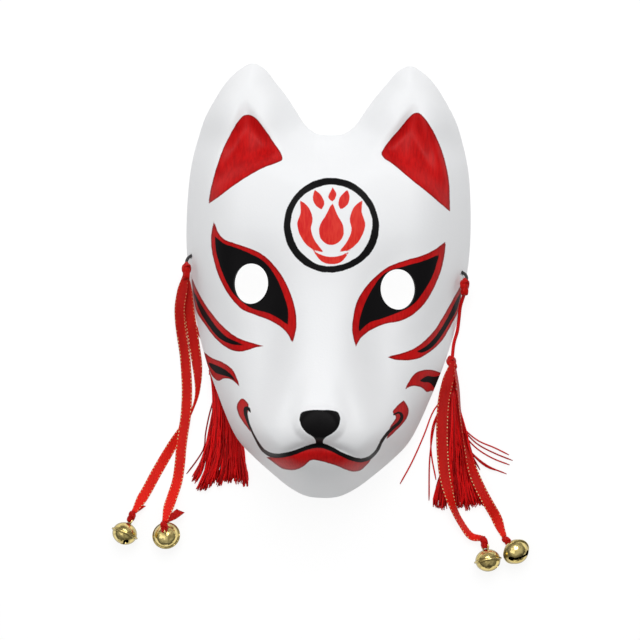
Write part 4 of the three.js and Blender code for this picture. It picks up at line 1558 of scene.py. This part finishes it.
    def build(self, material: bpy.types.Material) -> bpy.types.Object:
        """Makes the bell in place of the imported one."""
        bm = self._body()
        self._add_loop(bm)
        bmesh.ops.recalc_face_normals(bm, faces=bm.faces)
        for edge in bm.edges:
            edge.smooth = not edge.is_manifold or edge.calc_face_angle(0.0) < math.radians(50)
        # Painted shade, stored under the name crease: darker beside the flange's root, the loop's foot and inside the
        # hollow
        crease = bm.verts.layers.float.new("crease")
        for vert in bm.verts:
            vert[crease] = self._painted_shade(vert.co)
        own = Matrix.Rotation(math.radians(self.slot_turn_deg), 4, "Z")
        lean = Matrix.Rotation(math.radians(90 - self.rise_deg), 4, "Y")
        turn = Matrix.Rotation(math.radians(self.heading_deg), 4, "Z")
        whole = Matrix.Translation(self.centre) @ turn @ lean @ own @ Matrix.Scale(MM, 4)
        bmesh.ops.transform(bm, matrix=whole, verts=bm.verts)
        made = finish_object(self.name, bm, (material,), Slot.BELL)
        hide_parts(self.node)
        return made

    def _painted_shade(self, point: Vector) -> float:
        """How much painted shade a point gets: most beside the flange's root, the loop's foot and inside."""
        out, up = math.hypot(point.x, point.y), abs(point.z)
        inside = math.hypot(out / (self.diameter / 2), up / (self.height / 2)) < 0.955
        root = math.hypot(out - self.diameter / 2, up - self.flange_thickness / 2)
        foot = math.hypot(out - 1.6, up - self.height / 2)
        near = max(0.0, 1 - min(root, foot) / 1.6)
        return 0.9 if inside else 0.75 * near

    def rest(self) -> float:
        """Height of the bell's centre when it lies on the floor, in millimetres."""
        flat, steep = math.cos(math.radians(self.rise_deg)), math.sin(math.radians(self.rise_deg))
        body = math.hypot(self.diameter / 2 * flat, self.height / 2 * steep)
        flange = self.flange / 2 * flat + self.flange_thickness / 2 * abs(steep)
        reach = self.height / 2 + self.loop / 2 - self.wire / 4
        loop = -steep * reach + (self.loop + self.wire) / 2
        return max(body, flange, loop if steep < 0 else 0)

    def tie(self, knot: float, gap: float = 0.3) -> Point:
        """Centre of the knot of that size on the loop, in metres."""
        flat, steep = math.cos(math.radians(self.rise_deg)), math.sin(math.radians(self.rise_deg))
        loop = self.height / 2 + self.loop / 2 - self.wire / 4
        out = loop * flat + (self.loop + self.wire + knot) / 2 + gap
        heading = math.radians(self.heading_deg)
        x, y, z = self.centre
        z = max(z + loop * steep * MM, knot / 2 * MM)
        return (x + out * math.cos(heading) * MM, y + out * math.sin(heading) * MM, z)


@dataclass
class Tassel:
    """A bound head and a flat skirt of threads."""

    name: str
    node: str
    head: Point
    turn_deg: float
    strays: tuple[tuple[Pixel, ...], ...]
    seed: int
    length: float = 0.08
    spread: float = 0.03
    thickness: float = 0.005
    head_size: float = 0.006
    bow: float = 0.0
    threads: int = 250
    thread: float = 0.0009
    clumps: int = 15
    steps: int = 18

    def _threads(self) -> list[np.ndarray]:
        """Middle lines of the skirt's threads, from the neck down -Y of the tassel's own frame."""
        draw = random.Random(self.seed)
        lines = []
        t = np.linspace(0, 1, self.steps)
        drifts = [draw.uniform(-0.0005, 0.0005) for _ in range(self.clumps)]
        cuts = [draw.uniform(0.94, 1.0) for _ in range(self.clumps)]
        neck, start = self.head_size * 0.3, 0.0085
        for _ in range(self.threads):
            side = draw.uniform(-1, 1)
            clump = min(int((side + 1) / 2 * self.clumps), self.clumps - 1)
            middle = (clump + 0.5) / self.clumps * 2 - 1
            end = (middle + (side - middle) * 0.86) * self.spread * 0.52 + drifts[clump]
            lift = draw.uniform(-1, 1)
            room = math.sqrt(max(0.0, 1 - (abs(side) * 0.86) ** 2))
            reach = self.length * cuts[clump] * draw.uniform(0.965, 1.0)
            opening = t**1.2
            turns, phase = draw.uniform(2.0, 5.0), draw.uniform(0, 6)
            sway = draw.uniform(0.0004, 0.0017) * np.sin(t * math.pi * turns + phase)
            bowed = self.bow * 4 * t * (1 - t)
            x = side * neck * (1 - t) + end * opening + sway * t + bowed
            y = -start - (reach - start) * t
            level = self.thickness / 2 + (self.head_size / 2 - self.thickness / 2) * (1 - t)
            half = neck * (1 - t) + (self.thickness / 2 - self.thread * 0.7) * room * np.minimum(1, t * 3)
            z = np.maximum(level + lift * half, self.thread * 0.6)
            lines.append(np.column_stack((x, y, z)))
        return lines

    def _to_row(self, line: np.ndarray) -> np.ndarray:
        """Moves a line from the tassel's own frame to its place on the floor."""
        turn = np.array(Matrix.Rotation(math.radians(self.turn_deg), 3, "Z"))
        return line @ turn.T + np.array(self.head)

    def _head(self, bm: bmesh.types.BMesh) -> None:
        """Adds the bound head, wound below with thread."""
        stations = Profile((
            (0, 0.15), (0.0006, 0.6), (0.0022, 0.97), (0.004, 1.0), (0.0058, 0.84), (0.0066, 0.7),
            (0.0102, 0.72), (0.0112, 0.8),
        ))
        down = np.linspace(0, 0.0112, 44)
        radius = stations(down) * self.head_size / 2
        wound = (down > 0.0064) & (down < 0.0103)
        radius = radius + wound * 0.00012 * np.sin(down * 2 * math.pi / 0.00065)
        angle = np.arange(28) * 2 * math.pi / 28
        folds = 1 + 0.03 * np.cos(angle * 14)[None] * (~wound)[:, None]
        x = radius[:, None] * np.cos(angle)[None] * folds
        z = self.head_size / 2 + radius[:, None] * np.sin(angle)[None] * folds
        y = np.broadcast_to(-down[:, None], x.shape)
        grid = self._to_row(np.stack((x, y, z), axis=2).reshape(-1, 3)).reshape(44, 1, 28, 3)
        tone = np.where(wound, 0.25, 0.6)[:, None, None]
        grow_tubes(bm, grid, {"tone": np.broadcast_to(tone, grid.shape[:3])})

    def build(self, material: bpy.types.Material) -> bpy.types.Object:
        """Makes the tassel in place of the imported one."""
        draw = random.Random(self.seed + 1)
        lines = [self._to_row(line) for line in self._threads()]
        for stray in self.strays:
            points = [VIEW.at_height(pixel, 0.0022 if i else 0.003) for i, pixel in enumerate(stray)]
            lines.append(Route(points).at(np.linspace(0, 1, self.steps)))
        up_and_across = [level_frames(line) for line in lines]
        angle = np.arange(4) * math.pi / 2
        taper = np.concatenate((np.ones(self.steps - 1), [0.55])) * self.thread / 2
        grid = np.stack([
            line[:, None]
            + taper[:, None, None] * np.cos(angle)[None, :, None] * across[:, None]
            + taper[:, None, None] * np.sin(angle)[None, :, None] * up[:, None]
            for line, (up, across) in zip(lines, up_and_across)
        ], axis=1)
        tones = np.array([draw.random() for _ in lines])
        bm = bmesh.new()
        grow_tubes(bm, grid, {"tone": np.broadcast_to(tones[None, :, None], grid.shape[:3])})
        self._head(bm)
        made = finish_object(self.name, bm, (material,), Slot.TASSEL)
        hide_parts(self.node)
        return made


ELASTIC_ROUTE: tuple[Point, ...] = (
    (-82.2, 7.6, 12), (-82.4, 10.6, 10.2), (-81.4, 12.8, 8.6), (-79.2, 14.2, 7.8), (-76, 15, 6.9),
    (-71, 16, 4.4), (-64, 20, 1.5), (-54, 26, 1), (-36, 33, 1), (-16, 37, 1), (6, 37.5, 1), (26, 34, 1),
    (42, 28.5, 1), (54, 21, 1), (64, 13.5, 1.5), (71, 9, 4.4), (76, 8.4, 6.9),
    (79, 7.6, 7.8), (81.2, 6.2, 8.6), (82, 4, 10.2), (81.2, 1.4, 12),
)
LEFT_FRONT: tuple[Point, ...] = (
    (1.6, -2, 11.8), (-0.4, -12, 10.4), (-1.8, -21, 8.6), (-1.7, -29, 6.2), (-0.7, -38, 3.4),
    (1, -49, 1.5), (2.2, -61, 1.2), (2.8, -70, 1.8), (2.8, -79, 2.2), (2.3, -87, 2.3), (1.2, -95, 2.2),
    (0.2, -104, 2.1), (-0.4, -113, 1.6), (-1.8, -124, 1.2), (-4.2, -133, 4), (-6, -140, 9.4),
)
LEFT_BACK: tuple[Point, ...] = (
    (1.8, -2.4, 10.2), (2.2, -11, 8.6), (3, -18, 7), (3.8, -26, 5), (5.2, -35, 3), (6.8, -45, 1.4),
    (8.4, -55, 0.8), (9.1, -64, 0.6), (8.7, -73, 0.6), (6.4, -81, 0.6), (3, -88, 0.6), (-1.2, -95.5, 0.6),
    (-6.4, -105, 0.6), (-14.4, -119.5, 0.6), (-20, -130.5, 0.9), (-23.6, -137, 2.6),
)
TASSEL_CORD_LEFT: tuple[Point, ...] = (
    (1.4, -4.2, 5.8), (1.6, -10, 4.6), (2.4, -17, 2.9), (4, -24, 1.6), (6.4, -31, 1.3), (9.6, -37, 1.6),
    (13, -42, 2.6), (15.4, -45.6, 3.2),
)
TASSEL_CORD_RIGHT: tuple[Point, ...] = (
    (-2.6, -3.6, 11), (-4.4, -10.5, 7.8), (-5, -17.5, 6), (-5.8, -25, 5.2), (-7.6, -32, 4.8), (-8.4, -41, 4.6),
)
RIGHT_NEAR: tuple[Point, ...] = (
    (-8.2, -44, 7.4), (-10.8, -55, 8.2), (-12.4, -63, 7), (-13.2, -71, 6.3), (-13.4, -85, 6.1),
    (-12.4, -101, 6.1), (-10.4, -114, 6.1), (-6, -128, 6), (-0.8, -138, 3.2), (5.4, -145.6, 2.4),
)
RIGHT_FAR: tuple[Point, ...] = (
    (-7.6, -44, 6.4), (-4.8, -58, 7), (-3.2, -72, 6.3), (0.2, -91, 6.1), (5.6, -108, 6.1), (10, -117.5, 5.9),
    (14.8, -126, 4.4), (19.6, -134, 1.6), (22.6, -141, 1.2),
)
LOW_KNOT: Point = (-8.7, -43.4, 4.2)


@dataclass(frozen=True)
class Tail:
    """One ribbon tail with its bell and the knot between them."""

    name: str
    side: Side
    node: str
    points: tuple[Point, ...]
    bell: str
    bell_centre: Pixel
    heading_deg: float
    rise_deg: float
    slot_turn_deg: float
    rolls_deg: tuple[Pixel, ...] = ((0, 0), (1, 0))
    widths: tuple[Pixel, ...] = ((0, 1), (1, 1))
    cut_end: Pixel | None = None
    end_width: float = 0.005
    knot: float = 4.4
    tied: Point = (0.0088, 0.0054, 0.005)
    tied_nearer: float = 0.0022

    def build(self, satin: bpy.types.Material, brass: bpy.types.Material) -> bpy.types.Object:
        bell = Bell(
            f"{self.name}_bell", self.bell, (0, 0, 0), self.heading_deg, self.rise_deg, self.slot_turn_deg
        )
        bell.centre = from_knot(self.side, (*self.bell_centre, bell.rest()))
        tie = bell.tie(self.knot)
        line = [from_knot(self.side, point) for point in self.points]
        back = (Vector(line[-1]) - Vector(tie)).normalized() * MM
        line.append(tuple(Vector(tie) + back))
        ribbon = Ribbon(
            f"{self.name}_ribbon", self.node, tuple(line), rolls_deg=self.rolls_deg, widths=self.widths
        )
        heading = math.radians(self.heading_deg)
        out = Vector((math.cos(heading), math.sin(heading), 0))
        middle = tuple(Vector(tie) - out * self.tied_nearer)
        ends = ()
        if self.cut_end:
            tip = VIEW.at_height(self.cut_end, tie[2] * 0.4)
            ends = ((tie, tuple((a + b) / 2 for a, b in zip(tie, tip)), tip),)
        tied = (*self.tied[:2], min(self.tied[2], 2 * tie[2] - 0.0004))
        knot = Knot(
            f"{self.name}_tie", self.bell.replace("bell", "ribbon_tie"), middle, tied,
            (0.003, 0.0012), turn_deg=self.heading_deg, ends=ends, end_width=self.end_width,
        )
        made = ribbon.build(satin)
        pieces = [bell.build(brass), knot.build(satin)]
        lying = ribbon.line()
        return made


TAILS = (
    Tail("left_front", Side.LEFT, "ribbon_left_front", LEFT_FRONT, "bell_left_near", (-7, -155.9), 93, 66, 20,
         cut_end=(180.4, 511), end_width=0.0046),
    Tail("left_back", Side.LEFT, "ribbon_left_back", LEFT_BACK, "bell_left_far", (-31.4, -155.2), 69, -14, 35,
         rolls_deg=((0, 0), (0.36, 0), (0.5, 38), (0.6, 38), (0.74, 8), (1, 0)),
         widths=((0, 1), (0.34, 1), (0.46, 0.5), (0.53, 0.28), (0.6, 0.55), (0.7, 0.95), (1, 1)),
         cut_end=(143.6, 505.6), end_width=0.0022),
    Tail("right_near", Side.RIGHT, "ribbon_right_near", RIGHT_NEAR, "bell_right_near", (15, -158.7), 102, -12, 80,
         rolls_deg=((0, 0), (0.6, 0), (0.76, 48), (0.9, 52), (1, 30)),
         widths=((0, 1), (0.12, 1.12), (0.5, 1.12), (0.7, 1), (1, 1))),
    Tail("right_far", Side.RIGHT, "ribbon_right_far", RIGHT_FAR, "bell_right_far", (31.3, -153.1), 132, -56, -64,
         rolls_deg=((0, 70), (0.4, 76), (0.54, 45), (0.64, 8), (1, 0))),
)


# Studio


@dataclass
class Studio:
    """A plain pale floor and soft light from all round, strongest from above the ears."""

    floor_glow: float = 0.87
    horizon: float = 0.11
    zenith: float = 0.57
    key_watts: float = 18.0

    def build(self) -> None:
        """Makes the floor, the world and the lights."""
        bm = bmesh.new()
        bmesh.ops.create_grid(bm, x_segments=1, y_segments=1, size=2.5)
        mesh = bpy.data.meshes.new("floor")
        bm.to_mesh(mesh)
        bm.free()
        floor = bpy.data.objects.new("floor", mesh)
        bpy.context.scene.collection.objects.link(floor)
        material, _, shader = new_material("pale_floor")
        shader.inputs["Base Color"].default_value = (0.14, 0.14, 0.14, 1)
        shader.inputs["Roughness"].default_value = 0.9
        shader.inputs["Emission Color"].default_value = (1, 1, 1, 1)
        shader.inputs["Emission Strength"].default_value = self.floor_glow
        mesh.materials.append(material)
        world = bpy.data.worlds.new("studio")
        world.use_nodes = True
        wiring = Wiring(world.node_tree)
        way = wiring.node("ShaderNodeTexCoord").outputs["Generated"]
        parts = wiring.node("ShaderNodeSeparateXYZ", {0: way}).outputs
        up = wiring.maths("ADD", parts["Z"], wiring.maths("MULTIPLY", parts["Y"], 0.3))
        back = world.node_tree.nodes["Background"]
        back.inputs["Color"].default_value = (1, 1, 1, 1)
        wiring.feed(back.inputs["Strength"], wiring.spread(up, 0.0, 1.0, self.horizon, self.zenith))
        bpy.context.scene.world = world
        self._area("key", (0.1, 0.95, 1.55), 1.0, self.key_watts)
        self._area("fill", (-0.8, 0.1, 1.5), 1.2, self.key_watts * 0.2)
        bpy.context.scene.view_settings.view_transform = "Standard"

    @staticmethod
    def _area(name: str, place: Point, size: float, watts: float) -> None:
        """Adds a square soft light that faces the mask."""
        data = bpy.data.lights.new(name, "AREA")
        data.size, data.energy = size, watts
        lamp = bpy.data.objects.new(name, data)
        lamp.location = place
        lamp.rotation_euler = Vector(place).to_track_quat("Z", "Y").to_euler()
        bpy.context.scene.collection.objects.link(lamp)


def dress_elastic(material: bpy.types.Material) -> None:
    points = tuple((x * MM, y * MM, z * MM) for x, y, z in ELASTIC_ROUTE)
    cord = Cord("elastic", "elastic_cord", points, 0.0018, rings=220)
    made = cord.build(material, Slot.ELASTIC)
    route = Route(points)
    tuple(points[0])
    route.at(np.linspace(0, 1, 160)).tolist()


def dress_tassel_cord(side: Side, points: Sequence[Point], material: bpy.types.Material) -> None:
    name = side.name.lower()
    line = tuple(from_knot(side, point) for point in points)
    cord = Cord(f"tassel_{name}_cord", f"tassel_cord_{name}", line, 0.002, rings=60)
    made = cord.build(material, Slot.TASSEL)
    route = Route(line)
    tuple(line[0])
    route.at(np.linspace(0, 1, 60)).tolist()


def main() -> None:
    """Builds everything in order."""
    VIEW.build()
    satin = RibbonSatin().material(stitched_edges())
    thread = TasselThread().material()
    brass = Brass().material()
    for side, centre in KNOTS.items():
        name = side.name.lower()
        place = tuple((value + shift) * MM for value, shift in zip(centre, KNOT_SHIFTS[side]))
        knot = Knot(f"knot_{name}", f"ribbon_knot_{name}", place, (0.0056, 0.0126, 0.006), (0.0036, 0.0015))
        knot.build(satin)
    low = Knot(
        "knot_right_low", "ribbon_knot_right_low", from_knot(Side.RIGHT, LOW_KNOT),
        (0.006, 0.0108, 0.0082), (0.0036, 0.0015), turn_deg=20,
    )
    low.build(satin)
    dress_elastic(BraidedElastic().material())
    dress_tassel_cord(Side.LEFT, TASSEL_CORD_LEFT, thread)
    dress_tassel_cord(Side.RIGHT, TASSEL_CORD_RIGHT, thread)
    for tail in TAILS:
        tail.build(satin, brass)
    left = Tassel(
        "tassel_red_left", "tassel_left", from_knot(Side.LEFT, (17, -49.2, 0)), 5,
        (
            ((214, 398), (209, 416), (205.5, 434), (204, 448), (197, 460), (186.5, 474)),
            ((215, 405), (210, 425), (206, 445), (200, 463), (192, 477)),
            ((214.6, 402), (211, 420), (208, 440), (202, 460)),
        ),
        seed=11, bow=0.005,
    )
    right = Tassel(
        "tassel_red_right", "tassel_right", from_knot(Side.RIGHT, (-8.2, -51.4, 0)), 5,
        (
            ((452, 405), (462, 427), (476, 443), (494, 453), (512.7, 460.6)),
            ((452, 408), (462, 431), (475, 447), (492, 458), (509.7, 465)),
            ((451, 412), (459, 433), (471, 452), (488, 466), (506.6, 474)),
            ((452, 410), (460, 430), (468, 448), (480, 470)),
            ((452, 404), (463, 427), (477, 440), (495, 448), (509, 455)),
            ((452, 412), (461, 436), (473, 455), (487, 467), (499, 471)),
            ((446, 398), (436, 420), (430, 455), (429, 500.6)),
            ((445, 400), (433, 425), (431, 450), (436, 480)),
            ((446, 396), (434, 410), (424, 435), (412, 462), (400, 484)),
        ),
        seed=23,
    )
    left.build(thread)
    right.build(thread)
    face = Mask(FaceForm()).build(
        MaskPaint().material(brushed_edge(), brush_streaks()), BarePlastic().material()
    )
    Markings(VIEW).paint(face.data)
    Studio().build()


if __name__ == "__main__":
    logging.basicConfig(level=logging.INFO, format="%(message)s")
    main()
